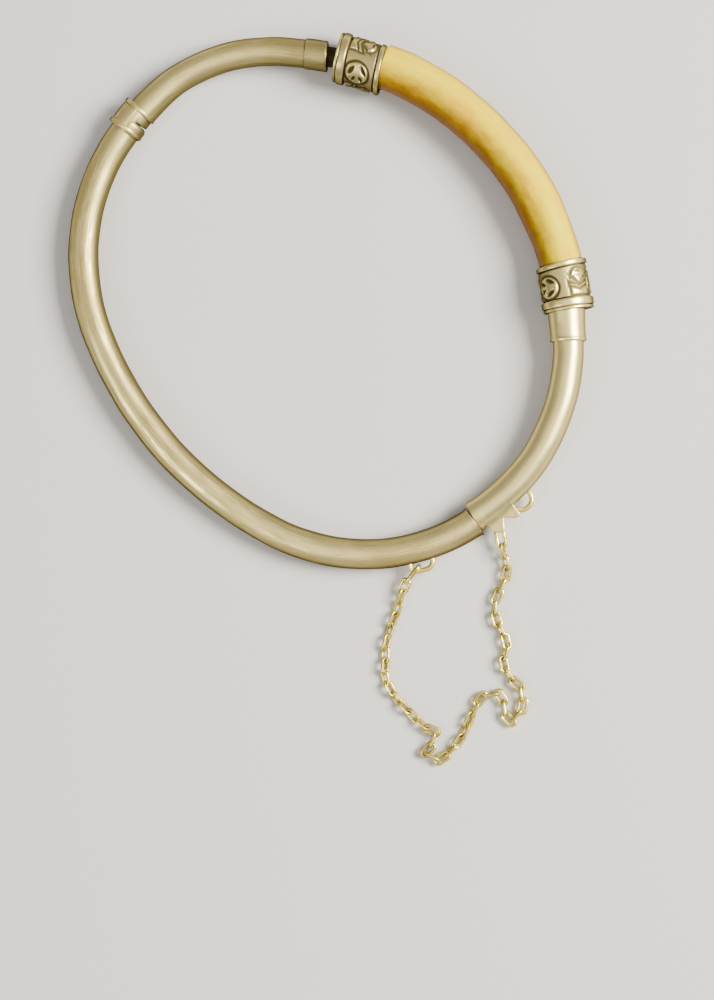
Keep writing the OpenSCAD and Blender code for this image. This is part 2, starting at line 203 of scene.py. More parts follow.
def rounded_edge(size: float, steps: int) -> tuple[Array, Array]:
    """Quarter round of an edge: how far each step has come, and how far it is still drawn in."""
    quarter = np.linspace(0.0, np.pi / 2, steps)
    return size * (1 - np.cos(quarter)), size * (1 - np.sin(quarter))


def smooth_step(x: Array, low: float, high: float) -> Array:
    """Goes from 0 at low to 1 at high as 3t^2 - 2t^3."""
    t = np.clip((x - low) / (high - low), 0.0, 1.0)
    return t * t * (3.0 - 2.0 * t)


def between(u: Array, rises: Pair, falls: Pair) -> Array:
    """Goes from 0 to 1 over the first span and back to 0 over the second, by smooth steps."""
    return smooth_step(u, *rises) * (1.0 - smooth_step(u, *falls))


def eased(s: Array, rows: Rows) -> Array:
    """Goes from row to row of place and value by smooth steps, and holds the ends.

    Args:
        s: places to look up.
        rows: places in rising order, each with its value.

    Returns:
        v_0 plus the sum of (v_i+1 - v_i) times the smooth step from s_i to s_i+1.
    """
    value = np.full(np.shape(s), rows[0][1])
    for (low, before), (high, after) in zip(rows, rows[1:]):
        value = value + (after - before) * smooth_step(s, low, high)
    return value


def filleted(corners: Array, fillet: float | Array, steps: int = 5, closed: bool = False) -> Array:
    """Rounds the corners of a polyline.

    Each corner P becomes the curve (1-t)^2 A + 2t(1-t) P + t^2 B, where A and B
    lie one fillet away from P towards its neighbours, or at 0.45 of the side.

    Args:
        corners: points of the polyline, one a row.
        fillet: length of each rounding, one for all or one a corner.
        steps: points on each rounding.
        closed: whether the last point joins the first.

    Returns:
        Points of the rounded polyline.
    """
    corners = np.asarray(corners, float)
    size = np.broadcast_to(np.asarray(fillet, float), len(corners)).copy()
    if not closed:
        size[[0, -1]] = 0.0

    def away(neighbour: int) -> Array:
        """Points where the roundings begin or end.

        Args:
            neighbour: 1 for the side to the corner before, -1 for the one after.

        Returns:
            A point a corner, with an axis for the steps between.
        """
        side = np.roll(corners, neighbour, axis=0) - corners
        length = np.maximum(np.linalg.norm(side, axis=1), 1e-9)
        return (corners + side * (np.minimum(size, 0.45 * length) / length)[:, None])[:, None]

    t = np.linspace(0.0, 1.0, steps)[None, :, None]
    curve = (1 - t) ** 2 * away(1) + 2 * t * (1 - t) * corners[:, None] + t**2 * away(-1)
    if closed:
        return curve.reshape(-1, corners.shape[1])
    inner = curve[1:-1].reshape(-1, corners.shape[1])
    return np.concatenate([corners[:1], inner, corners[-1:]])


def dense(path: Array, step: float) -> Array:
    """Adds points to a polyline so that no side is much longer than a step.

    Args:
        path: points of the polyline, one a row.
        step: longest side wanted.

    Returns:
        The polyline with its own points kept and evenly spaced ones between.
    """
    at = np.concatenate([[0.0], np.cumsum(np.linalg.norm(np.diff(path, axis=0), axis=1))])
    where = np.unique(np.round(np.concatenate([at, np.arange(0.0, at[-1], step)]), 6))
    where = where[np.concatenate([[True], np.diff(where) > step * 0.15])]
    where[-1] = at[-1]
    return np.stack([np.interp(where, at, column) for column in path.T], axis=1)


def profile(corners: list[Pair], fillet: float = 0.12, step: float = 0.45) -> Array:
    """Rounded and finely divided rows of length and radius."""
    return dense(filleted(np.array(corners), fillet), step)


def drum(low: float, high: float, radius: float) -> list[Pair]:
    """Corners of a short closed cylinder from low to high."""
    return [(low, CORE_R), (low, radius), (high, radius), (high, CORE_R)]


def swept(path: Array, radius: float, columns: int) -> tuple[Array, Array]:
    """Sweeps a round wire along a path that lies in a plane.

    The section turns in the plane of the path's normal N and the plane's own
    normal Z: P + r (cos a N + sin a Z).

    Args:
        path: rows of two coordinates in the plane.
        radius: radius of the wire.
        columns: points of the section.

    Returns:
        The coordinates in the plane, with a last axis of two, and those out of it.
    """
    tangent = unit(np.gradient(path, axis=0))
    normal = np.stack([tangent[:, 1], -tangent[:, 0]], axis=1)
    angle = circle_angles(columns)[None, :, None]
    inside = path[:, None] + radius * np.cos(angle) * normal[:, None]
    return inside, radius * np.sin(angle[..., 0]) + np.zeros(inside.shape[:2])


def handwork(s: Array, angle: Array, seed: int, size: float) -> Array:
    """Small unevenness of a tube that was drawn and bent by hand.

    A sum of waves a sin(k s + m angle + p), with k between 0.15 and 1.3 a
    millimetre, m from 0 to 3, and amplitudes that fall with k.

    Args:
        s: lengths along the tube.
        angle: angles round the tube.
        seed: seed of the waves.
        size: rough height of the unevenness.

    Returns:
        Radius to be added, of the broadcast shape of s and angle.
    """
    waves = 14
    rng = np.random.default_rng(seed)
    k = rng.uniform(0.15, 1.3, waves)
    m = rng.integers(0, 4, waves)
    phase = rng.uniform(0.0, 2.0 * np.pi, waves)
    wave = np.sin(k * s[..., None] + m * angle[..., None] + phase)
    return size * (wave / (0.6 + k)).sum(axis=-1) / 2.5


def put(name: str, data: bpy.types.ID, turn: Array | None = None, place: Triple = (0.0, 0.0, 0.0)) -> Piece:
    """Adds an object to the scene.

    Args:
        name: name of the object.
        data: its mesh, light or camera.
        turn: its rotation matrix, or none.
        place: its place in metres.

    Returns:
        The object.
    """
    thing = bpy.data.objects.new(name, data)
    if turn is not None:
        pose = Matrix(turn.tolist()).to_4x4()
        pose.translation = place
        thing.matrix_world = pose
    bpy.context.scene.collection.objects.link(thing)
    return thing


@dataclass
class Draft:
    """Mesh in the making, in millimetres: closed shells that end in one piece.

    Each point also carries its straightened coordinates, which the finishes
    follow, and how deep it lies in a recess, from 0 to 1.
    """

    line: Centreline
    columns: int = 72
    points: list[Array] = field(default_factory=list)
    flows: list[Array] = field(default_factory=list)
    depths: list[Array] = field(default_factory=list)
    faces: list[list[list[int]]] = field(default_factory=list)
    count: int = 0

    def add(self, grid: Array, flow: Array, depth: Array | float = 0.0, ring: bool = False) -> None:
        """Adds a shell whose columns close on themselves.

        Without ring, a point in the middle of the first row and one in the
        middle of the last row close the ends. Faces are turned outward by the
        sign of the volume, the sum of a . (b x c) / 6 over the triangles.

        Args:
            grid: points, rows by columns by three.
            flow: straightened coordinates of the points, of the same shape.
            depth: recess depth of the points, rows by columns, or one for all.
            ring: whether the last row joins the first.
        """
        rows, columns = grid.shape[:2]
        size = rows * columns
        depth = np.broadcast_to(np.asarray(depth, float), (rows, columns))
        index = np.arange(size).reshape(rows, columns)
        here, along = (index, np.roll(index, -1, axis=0)) if ring else (index[:-1], index[1:])
        quads = np.stack([here, np.roll(here, -1, axis=1), np.roll(along, -1, axis=1), along], axis=-1)
        quads = quads.reshape(-1, 4)
        triangles = np.zeros((0, 3), int)
        points, flows, depths = (a.reshape(size, -1) for a in (grid, flow, depth))
        if not ring:
            first, last = index[0], index[-1]
            points, flows, depths = (
                np.concatenate([a, a[first].mean(axis=0)[None], a[last].mean(axis=0)[None]])
                for a in (points, flows, depths)
            )
            start = np.stack([np.full(columns, size), np.roll(first, -1), first], axis=1)
            end = np.stack([np.full(columns, size + 1), last, np.roll(last, -1)], axis=1)
            triangles = np.concatenate([start, end])
        middle = points.mean(axis=0)
        halves = np.concatenate([quads[:, [0, 1, 2]], quads[:, [0, 2, 3]], triangles])
        a, b, c = (points[halves[:, i]] - middle for i in range(3))
        if np.einsum("ij,ij->", a, np.cross(b, c)) < 0:
            quads, triangles = quads[:, ::-1], triangles[:, ::-1]
        self.points.append(points)
        self.flows.append(flows)
        self.depths.append(depths[:, 0])
        self.faces.append((quads + self.count).tolist() + (triangles + self.count).tolist())
        self.count += len(points)

    def lay(
        self, at: float, along: Array, out: Array, up: Array, depth: float = 0.0, top: Array | float = 0.0
    ) -> None:
        """Adds a shell given in the straight frame of one place on the line.

        Args:
            at: place on the line of the frame's origin.
            along: distances along the travel, rows by columns.
            out: distances outward.
            up: heights over the plane of the loop.
            depth: recess depth of the whole shell.
            top: share by which it takes the finish of a tube's top, free of the painted side shade.
        """
        flow = np.stack([at + along, (1.0 - 0.8 * top) * out, up + 2.0 * top], axis=-1)
        self.add(self.line.place(at, along, out, up), flow, depth)

    def tube(
        self,
        rows: Array,
        shift: Shift | None = None,
        sway: Rows = ((0.0, 0.0),),
        seed: int = 0,
        rough: float = 0.0,
        depth: float = 0.0,
    ) -> None:
        """Carries a round section along the bent line.

        At row i the point at angle a lies at s_i, r_i cos a outward and
        r_i sin a up, and the whole section is moved outward by the sway.

        Args:
            rows: rows of length along the line and radius.
            shift: function of s and out that gives a shift along the line.
            sway: places along the line with shifts outward, eased between.
            seed: seed of the unevenness.
            rough: height of the unevenness.
            depth: recess depth of the whole shell.
        """
        s, angle = np.broadcast_arrays(rows[:, :1], circle_angles(self.columns)[None, :])
        r = rows[:, 1:] + handwork(s, angle, seed, rough)
        out, up = r * np.cos(angle), r * np.sin(angle)
        along = s if shift is None else s + shift(s, out)
        grid = self.line.place(along, 0.0, out + eased(s, sway), up)
        self.add(grid, np.stack([along, out, up], axis=-1), depth)

    def block(
        self,
        at: float,
        span: Pair,
        core: Pair,
        walls: tuple[Triple, ...],
        dome: float,
        edge: float = 0.09,
        depth: float = 0.0,
    ) -> None:
        """Shapes a small block between flat walls under a round dome.

        Seen along the travel, the section reaches from its core in direction d
        to the soft least of the distances to the walls and to the dome:
        (sum of t_i^-p)^(-1/p). Its two ends are eased by a quarter ellipse.

        Args:
            at: place on the line of the frame's origin.
            span: where the block begins and ends along the travel.
            core: outward and up coordinates of the inside point.
            walls: rows of a wall's normal (outward, up) and its distance from the axis.
            dome: radius of the dome round the axis.
            edge: how far the ends are eased.
            depth: recess depth of the whole block.
        """
        sharp, directions, least = 16.0, 160, 0.05
        d = spokes(full_turn(directions))
        c = np.array(core)
        inverse = [np.maximum(d @ np.array(w[:2]), 0.0) / (w[2] - c @ np.array(w[:2])) for w in walls]
        b = d @ c
        inverse.append(1.0 / (-b + np.sqrt(b * b + dome * dome - c @ c)))
        reach = (np.stack(inverse) ** sharp).sum(axis=0) ** (-1.0 / sharp)
        ease, drawn = rounded_edge(edge, 6)
        inset = np.concatenate([drawn, [0.0], drawn[::-1]])
        along = np.concatenate([span[0] + ease, [sum(span) / 2], span[1] - ease[::-1]])
        r = np.maximum(reach[None, :] - inset[:, None], least)
        out, up = c[0] + r * d[:, 0], c[1] + r * d[:, 1]
        self.lay(at, np.broadcast_to(along[:, None], out.shape), out, up, depth)

    def piece(self, name: str, material: Material, slot: Slot, node: str) -> Piece:
        """Writes the shells to one object that stands for a CAD node.

        Args:
            name: name of the object.
            material: its finish.
            slot: not used.
            node: CAD node that it replaces.

        Returns:
            The object, riding on the bangle's body.
        """
        mesh = bpy.data.meshes.new(name)
        mesh.from_pydata((np.concatenate(self.points) * METRES).tolist(), [], sum(self.faces, []))
        mesh.polygons.foreach_set("use_smooth", np.ones(len(mesh.polygons), bool))
        mesh.set_sharp_from_angle(angle=np.radians(SHARP_DEGREES))
        flow = mesh.attributes.new("flow", "FLOAT_VECTOR", "POINT")
        flow.data.foreach_set("vector", np.concatenate(self.flows).astype(np.float32).ravel())
        depth = mesh.attributes.new("depth", "FLOAT", "POINT")
        depth.data.foreach_set("value", np.concatenate(self.depths).astype(np.float32))
        mesh.materials.append(material)
        mesh.update()
        piece = put(name, mesh)
        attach(piece, ROOT)
        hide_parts(node)
        LOG.info("%s: %d faces, stands for %s", name, len(mesh.polygons), node)
        return piece


class Shader:
    """Nodes of one material, round a Principled surface."""

    def __init__(self, name: str) -> None:
        """Makes an empty material with its surface and output.

        Args:
            name: name of the material.
        """
        self.material = bpy.data.materials.new(name)
        self.material.use_nodes = True
        self.tree = self.material.node_tree
        self.tree.nodes.clear()
        output = self.tree.nodes.new("ShaderNodeOutputMaterial")
        self.surface = self.tree.nodes.new("ShaderNodeBsdfPrincipled")
        self.tree.links.new(self.surface.outputs["BSDF"], output.inputs["Surface"])

    def give(self, node: bpy.types.Node, name: str | int, value: object) -> None:
        """Links a socket to an input, or sets the input to a value.

        Args:
            node: the node.
            name: name or number of its input.
            value: a socket or a value.
        """
        if isinstance(value, Socket):
            self.tree.links.new(value, node.inputs[name])
        else:
            node.inputs[name].default_value = value

    def add(self, kind: str, inputs: dict[str | int, object], **settings: object) -> bpy.types.Node:
        """Adds a node.

        Args:
            kind: the node's type after "ShaderNode".
            inputs: values or sockets by the input's name or number.
            settings: properties of the node.

        Returns:
            The node.
        """
        node = self.tree.nodes.new("ShaderNode" + kind)
        for name, value in settings.items():
            setattr(node, name, value)
        for name, value in inputs.items():
            self.give(node, name, value)
        return node

    def set(self, **values: object) -> None:
        """Sets the surface's own sockets, words joined by an underscore."""
        for name, value in values.items():
            self.give(self.surface, name.replace("_", " "), value)

    def flow(self, stretch: Triple = (1.0, 1.0, 1.0)) -> Socket:
        """Straightened coordinates of the piece in millimetres, stretched axis by axis."""
        read = self.add("Attribute", {}, attribute_name="flow").outputs["Vector"]
        return self.add("VectorMath", {0: read, 1: stretch}, operation="MULTIPLY").outputs[0]

    def axes(self) -> list[Socket]:
        """Length along the line, distance outward and height, each a number."""
        return list(self.add("SeparateXYZ", {0: self.flow()}).outputs)

    def depth(self) -> Socket:
        """How deep the surface lies in a recess, from 0 to 1."""
        return self.add("Attribute", {}, attribute_name="depth").outputs["Fac"]

    def rise(self) -> Socket:
        """Sine of the angle round the section.

        Returns:
            1 on top, 0 at the sides, -1 underneath.
        """
        _, out, up = self.axes()
        square = self.plus(self.times(out, out), self.times(up, up))
        return self.math("DIVIDE", up, self.math("SQRT", square))

    def noise(self, where: Socket, scale: float, detail: float = 4.0, rough: float = 0.55) -> Socket:
        """Fractal noise from about 0.2 to 0.8."""
        inputs = {"Vector": where, "Scale": scale, "Detail": detail, "Roughness": rough}
        return self.add("TexNoise", inputs).outputs["Fac"]

    def grain(self, stretch: Triple, detail: float, rough: float) -> Socket:
        """Noise that follows the line, with its waves a millimetre in each axis."""
        return self.noise(self.flow(stretch), 1.0, detail, rough)

    def ramp(
        self, value: object, low: float, high: float, to_low: float = 0.0, to_high: float = 1.0
    ) -> Socket:
        """Smoothly maps low..high to to_low..to_high and holds the ends."""
        inputs = {"Value": value, "From Min": low, "From Max": high, "To Min": to_low, "To Max": to_high}
        return self.add("MapRange", inputs, interpolation_type="SMOOTHSTEP").outputs["Result"]

    def math(self, operation: str, a: object, b: object = 0.0) -> Socket:
        """One sum on two numbers."""
        return self.add("Math", {0: a, 1: b}, operation=operation).outputs[0]

    def times(self, a: object, b: object) -> Socket:
        """Product of two numbers."""
        return self.math("MULTIPLY", a, b)

    def plus(self, a: object, b: object) -> Socket:
        """Sum of two numbers."""
        return self.math("ADD", a, b)

    def swing(self, value: object, middle: float, size: float) -> Socket:
        """Size times how far a value lies over the middle."""
        return self.times(self.math("SUBTRACT", value, middle), size)

    def blend(self, share: object, a: object, b: object) -> Socket:
        """Colour a where share is 0 and b where it is 1."""
        return self.add("Mix", {0: share, MIX_A: a, MIX_B: b}, data_type="RGBA").outputs[MIX_OUT]

    def bump(self, height: Socket, distance: float, strength: float = 1.0) -> Socket:
        """Normal from a height of 0 to 1, over a distance in millimetres."""
        inputs = {"Height": height, "Distance": distance * METRES, "Strength": strength}
        return self.add("Bump", inputs).outputs["Normal"]


@dataclass(frozen=True)
class Silver:
    """Old silver: satin metal under a warm tarnish, with painted shade down the sides.

    Amount, sides and streak are shares of the tarnish, of the painted shade down
    the sides and of the fine streaks. Gloom is where along the line a darker
    patch starts, where it is full and its strength. Crown is where a dark band
    along the top starts, is full, fades and is gone, and its strength. The
    darkest tone serves the painted shade as well as the dark specks and tarnish.
    """

    name: str
    bright: Colour = (0.93, 0.78, 0.33, 1.0)
    tarnish: Colour = (0.46, 0.36, 0.125, 1.0)
    shade_and_dark_tarnish: Colour = (0.100, 0.080, 0.026, 1.0)
    recess: Colour = (0.055, 0.043, 0.016, 1.0)
    edge: Colour = (0.05, 0.040, 0.016, 1.0)
    metal: float = 0.82
    roughness: Pair = (0.29, 0.50)
    relief: float = 0.022
    amount: float = 0.85
    sides: float = 0.9
    streak: float = 1.0
    gloom: Triple = (0.0, 1.0, 0.0)
    crown: tuple[float, float, float, float, float] = (0.0, 1.0, 2.0, 3.0, 0.0)

    def material(self) -> Material:
        """Makes the material.

        Returns:
            The material, with tarnish in drifts, painted shade down the sides, fine
            streaks along the travel, and darkness in the recesses that is partly oxide
            in the hollows and partly painted shade.
        """
        m = Shader(self.name)
        drift = m.grain((0.10, 0.30, 0.30), 5.0, 0.6)
        streaks = m.grain((0.35, 6.0, 6.0), 3.0, 0.6)
        specks = m.noise(m.flow(), 2.6, 5.0, 0.65)
        veil = m.plus(m.times(drift, 0.62), m.times(streaks, 0.38 * self.streak))
        share = m.times(m.ramp(veil, 0.41, 0.62), self.amount)
        colour = m.blend(share, self.bright, self.tarnish)
        colour = m.blend(m.times(m.ramp(specks, 0.58, 0.78), 0.5), colour, self.shade_and_dark_tarnish)
        # Painted shade: darker down the sides, where the section turns away from the top.
        low = m.plus(m.rise(), m.swing(drift, 0.5, 0.5))
        colour = m.blend(m.times(m.ramp(low, 0.92, 0.40), self.sides), colour, self.shade_and_dark_tarnish)
        along, out, _ = m.axes()
        starts, full, strength = self.gloom
        colour = m.blend(m.ramp(along, starts, full, 0.0, strength), colour, self.shade_and_dark_tarnish)
        starts, full, fades, gone, strength = self.crown
        reach = m.times(m.ramp(along, starts, full, 0.0, strength), m.ramp(along, fades, gone, 1.0, 0.0))
        middle = m.math("ABSOLUTE", m.plus(out, m.swing(drift, 0.35, 1.2)))
        band = m.times(m.ramp(middle, 0.75, 0.15), reach)
        colour = m.blend(m.times(band, m.ramp(streaks, 0.3, 0.6, 0.6, 1.0)), colour, self.shade_and_dark_tarnish)
        # Recesses take a dark colour: oxide in the hollows, plus painted shade that is stronger on the inner
        # side.
        sunk = m.times(m.ramp(m.depth(), 0.05, 0.95), m.ramp(out, 2.8, -0.8, 0.75, 1.0))
        colour = m.blend(sunk, colour, self.recess)
        rough = m.ramp(m.plus(share, m.times(streaks, 0.4)), 0.1, 0.8, *self.roughness)
        rough = m.plus(rough, m.times(m.depth(), 0.3))
        hair = m.grain((0.8, 22.0, 22.0), 3.0, 0.6)
        pits = m.noise(m.flow(), 5.5, 4.0, 0.6)
        height = m.plus(m.times(hair, 0.5 * self.streak), m.times(pits, 0.5))
        m.set(Base_Color=colour, Metallic=self.metal, Roughness=rough, Specular_Tint=self.edge)
        m.set(Normal=m.bump(height, self.relief, 0.6))
        return m.material


# Side tube: less tarnish and less painted side shade, so brighter all over.
BRIGHTER = Silver("brighter_silver", amount=0.15, sides=0.55)
UPPER = Silver("upper_silver", gloom=(93.0, 79.0, 0.55))
LOWER = Silver("lower_silver", crown=(109.0, 120.0, 152.0, 166.0, 0.36))
# Left collar: full tarnish, and darker all over by a quarter, which is painted shade.
DULL_AND_SHADED = Silver("dull_and_shaded_cast_silver", amount=1.0, sides=0.8, streak=0.3, gloom=(0.0, 1.0, 0.25))
CAST = Silver("cast_silver", recess=(0.075, 0.06, 0.022, 1.0), amount=0.5, sides=0.8, streak=0.3)
YELLOW = Silver("yellow_silver", bright=(0.94, 0.78, 0.24, 1.0), amount=0.5, sides=0.6, streak=0.3)
HIDDEN = Silver("dark_steel", bright=(0.30, 0.28, 0.22, 1.0))


@dataclass(frozen=True)
class Gilt:
    """Pale gilt wire with dull grimy patches, and painted shade inside each link's ends, where the next link
    hooks through.
    """

    name: str
    bright: Colour = (0.96, 0.82, 0.24, 1.0)
    dull: Colour = (0.42, 0.33, 0.075, 1.0)
    painted_link_shade: Colour = (0.12, 0.09, 0.03, 1.0)
    edge: Colour = (0.30, 0.22, 0.08, 1.0)

    def material(self) -> Material:
        """Makes the material.

        Returns:
            The material, with grime in small patches and painted shade where the links hook through each
            other.
        """
        m = Shader(self.name)
        where = m.add("TexCoord", {}).outputs["Object"]
        grime = m.noise(where, 900.0, 4.0, 0.6)
        colour = m.blend(m.ramp(grime, 0.40, 0.62, 0.0, 0.85), self.bright, self.dull)
        # Painted shade inside the link ends, where the next link hooks through.
        colour = m.blend(m.depth(), colour, self.painted_link_shade)
        rough = m.ramp(grime, 0.35, 0.7, 0.22, 0.5)
        m.set(Base_Color=colour, Metallic=0.9, Roughness=rough, Specular_Tint=self.edge)
        m.set(Normal=m.bump(m.noise(where, 2500.0), 0.012, 0.5))
        return m.material


@dataclass(frozen=True)
class Ivory:
    """Old honey-coloured ivory with a fine grain along the bar."""

    name: str
    pale: Colour = (0.84, 0.69, 0.0005, 1.0)
    honey: Colour = (0.84, 0.52, 0.0005, 1.0)
    shade_and_stain_brown: Colour = (0.18, 0.060, 0.001, 1.0)
    sheen: Colour = (1.0, 0.86, 0.14, 1.0)
    glow: Triple = (1.0, 0.55, 0.25)

    def material(self) -> Material:
        """Makes the material.

        Returns:
            The material, with painted shade towards the inner side and the underside, the inner shade with a
            mottled edge of brown staining.
        """
        m = Shader(self.name)
        out = m.axes()[1]
        drift = m.grain((0.14, 0.5, 0.5), 4.0, 0.55)
        mottle = m.grain((0.5, 1.1, 1.1), 5.0, 0.65)
        inner = m.ramp(m.plus(out, m.swing(mottle, 0.5, -2.4)), -2.7, 1.0, 1.0, 0.0)
        grain = m.grain((0.22, 5.0, 5.0), 5.0, 0.6)
        colour = m.blend(m.ramp(drift, 0.34, 0.68), self.pale, self.honey)
        colour = m.blend(m.times(m.ramp(grain, 0.48, 0.72), 0.45), colour, self.honey)
        # Painted shade towards the inner side, its edge mottled like brown staining.
        colour = m.blend(m.times(inner, 0.95), colour, self.shade_and_stain_brown)
        # Painted shade: browner towards the underside.
        low = m.plus(m.rise(), m.swing(drift, 0.5, 0.6))
        colour = m.blend(m.ramp(low, 0.72, 0.15, 0.0, 0.85), colour, self.shade_and_stain_brown)
        # Painted shade in recesses, by depth.
        colour = m.blend(m.depth(), colour, self.shade_and_stain_brown)
        pores = m.grain((1.2, 14.0, 14.0), 4.0, 0.6)
        rough = m.ramp(drift, 0.3, 0.7, 0.34, 0.48)
        m.set(Base_Color=colour, Roughness=rough, Normal=m.bump(pores, 0.012, 0.5))
        m.set(IOR=1.45, Specular_IOR_Level=0.22, Specular_Tint=self.sheen)
        m.set(Subsurface_Weight=0.06, Subsurface_Scale=0.001, Subsurface_Radius=self.glow)
        return m.material


@dataclass(frozen=True)
class Paper:
    """Plain pale floor."""

    name: str
    colour: Colour = (0.66, 0.65, 0.635, 1.0)

    def material(self) -> Material:
        """Makes the material.

        Returns:
            The material, with a slight tooth.
        """
        m = Shader(self.name)
        tooth = m.noise(m.add("TexCoord", {}).outputs["Object"], 900.0, 3.0)
        m.set(Base_Color=self.colour, Roughness=0.85, Normal=m.bump(tooth, 0.02, 0.3))
        return m.material


@dataclass
class Part:
    """Sub-assembly of the bangle, which lies on the centreline and has one finish."""

    line: Centreline
    finish: Material


@dataclass
class Staple:
    """Bent wire whose legs are sunk into a tube's wall."""

    at: float
    span: float
    reach: float
    corners: Pair
    height: float
    wire_r: float = 0.32
    foot: float = 1.3

    def build(self, line: Centreline, finish: Material, node: str) -> Piece:
        """Builds the wire: leg, quarter round, straight, quarter round, leg.

        Args:
            line: the centreline that it stands on.
            finish: its material.
            node: the CAD node that it belongs to.

        Returns:
            The piece.
        """
        half = self.span / 2
        near, far = self.corners
        first = quarter_round((self.reach - near, near - half), near, 14)
        second = quarter_round((self.reach - far, half - far), far, 14, starts=0.0)
        path = np.concatenate([[[self.foot, -half]], first, second, [[self.foot, half]]])
        level, rise = swept(dense(path, 0.12), self.wire_r, 20)
        draft = Draft(line)
        draft.lay(self.at, level[..., 1], level[..., 0], self.height + rise, top=1.0)
        return draft.piece(node + "_staple", finish, Slot.SILVER, node)


@dataclass
class Fishtail:
    """Thumb plate of the clasp: two rounded lobes with a notch between them.

    The rows of the outline are a corner's distances outward and along, and its
    rounding. The fillet of solder is where it ends, its width and its height.
    The rings close on a spine, whose ranges outward and along are given.
    """

    at: float = 4.4
    bottom: float = 0.25
    thickness: float = 0.7
    bevel: float = 0.2
    fillet: Triple = (1.9, 0.9, 0.365)
    spine: tuple[Pair, Pair] = ((1.0, 1.7), (-1.6, 1.8))
    outline: tuple[Triple, ...] = (
        (0.75, -2.08, 0.1), (2.1, -1.8, 0.3), (2.65, -1.62, 0.3), (3.1, -1.2, 0.3), (3.22, -0.7, 0.3),
        (3.05, -0.4, 0.25), (2.6, -0.15, 0.3), (1.98, 0.4, 0.1), (2.35, 0.9, 0.3), (2.9, 1.4, 0.3),
        (2.98, 1.9, 0.3), (2.75, 2.28, 0.25), (0.75, 2.34, 0.1),
    )

    def build(self, draft: Draft) -> None:
        """Adds the plate: rings of its outline, drawn in along a rounded edge.

        Nearer than X = 1.9 to the tube's axis the top rises by
        0.365 ((1.9 - X) / 0.9)^2, the fillet of solder against the tube.

        Args:
            draft: mesh to add to.
        """
        corners = np.array(self.outline)
        rim = dense(filleted(corners[:, :2], corners[:, 2], 6, closed=True), 0.06)[:-1]
        tangent = unit(np.roll(rim, -1, axis=0) - np.roll(rim, 1, axis=0))
        inward = np.stack([-tangent[:, 1], tangent[:, 0]], axis=1)
        lift, drawn = rounded_edge(self.bevel, 7)
        inset = np.concatenate([drawn, drawn[::-1]])
        rise = np.concatenate([lift, self.thickness - lift[::-1]])
        level = rim[None] + inset[:, None, None] * inward[None]
        spine = np.stack([np.clip(level[..., i], *self.spine[i]) for i in (0, 1)], axis=-1)
        share = np.linspace(0.0, 1.0, 9)[1:, None, None]
        level = np.concatenate([spine[:1], level, level[-1] + share * (spine[-1] - level[-1])])
        rise = np.concatenate([rise[:1], rise, np.full(len(share), rise[-1])])
        out, along = level[..., 0], level[..., 1]
        ends, width, height = self.fillet
        near = np.maximum((ends - out) / width, 0.0) ** 2
        on_top = np.clip(rise / self.thickness, 0.0, 1.0)[:, None]
        up = self.bottom + rise[:, None] + height * near * on_top
        draft.lay(self.at, along, out, up, top=smooth_step(out, 1.5, 2.5))


@dataclass
class Post:
    """Wire post under the thumb plate, which the chain's last link goes round.

    Foot, bend and top are distances outward and up: where the wire starts
    inside the tube, the middle of its quarter round and where it ends in the plate.
    """

    at: float = 4.4
    along: float = -1.15
    wire_r: float = 0.25
    foot: Pair = (0.7, -1.4)
    bend: Pair = (2.25, -0.9)
    bend_r: float = 0.5
    top: Pair = (2.75, 0.5)

    def build(self, draft: Draft) -> None:
        """Adds the wire: level out of the tube, a quarter round, then upright.

        Args:
            draft: mesh to add to.
        """
        bend = quarter_round(self.bend, self.bend_r, 10)
        path = dense(np.concatenate([[self.foot], bend, [self.top]]), 0.12)
        upright, aside = swept(path, self.wire_r, 16)
        draft.lay(self.at, self.along + aside, upright[..., 0], upright[..., 1])


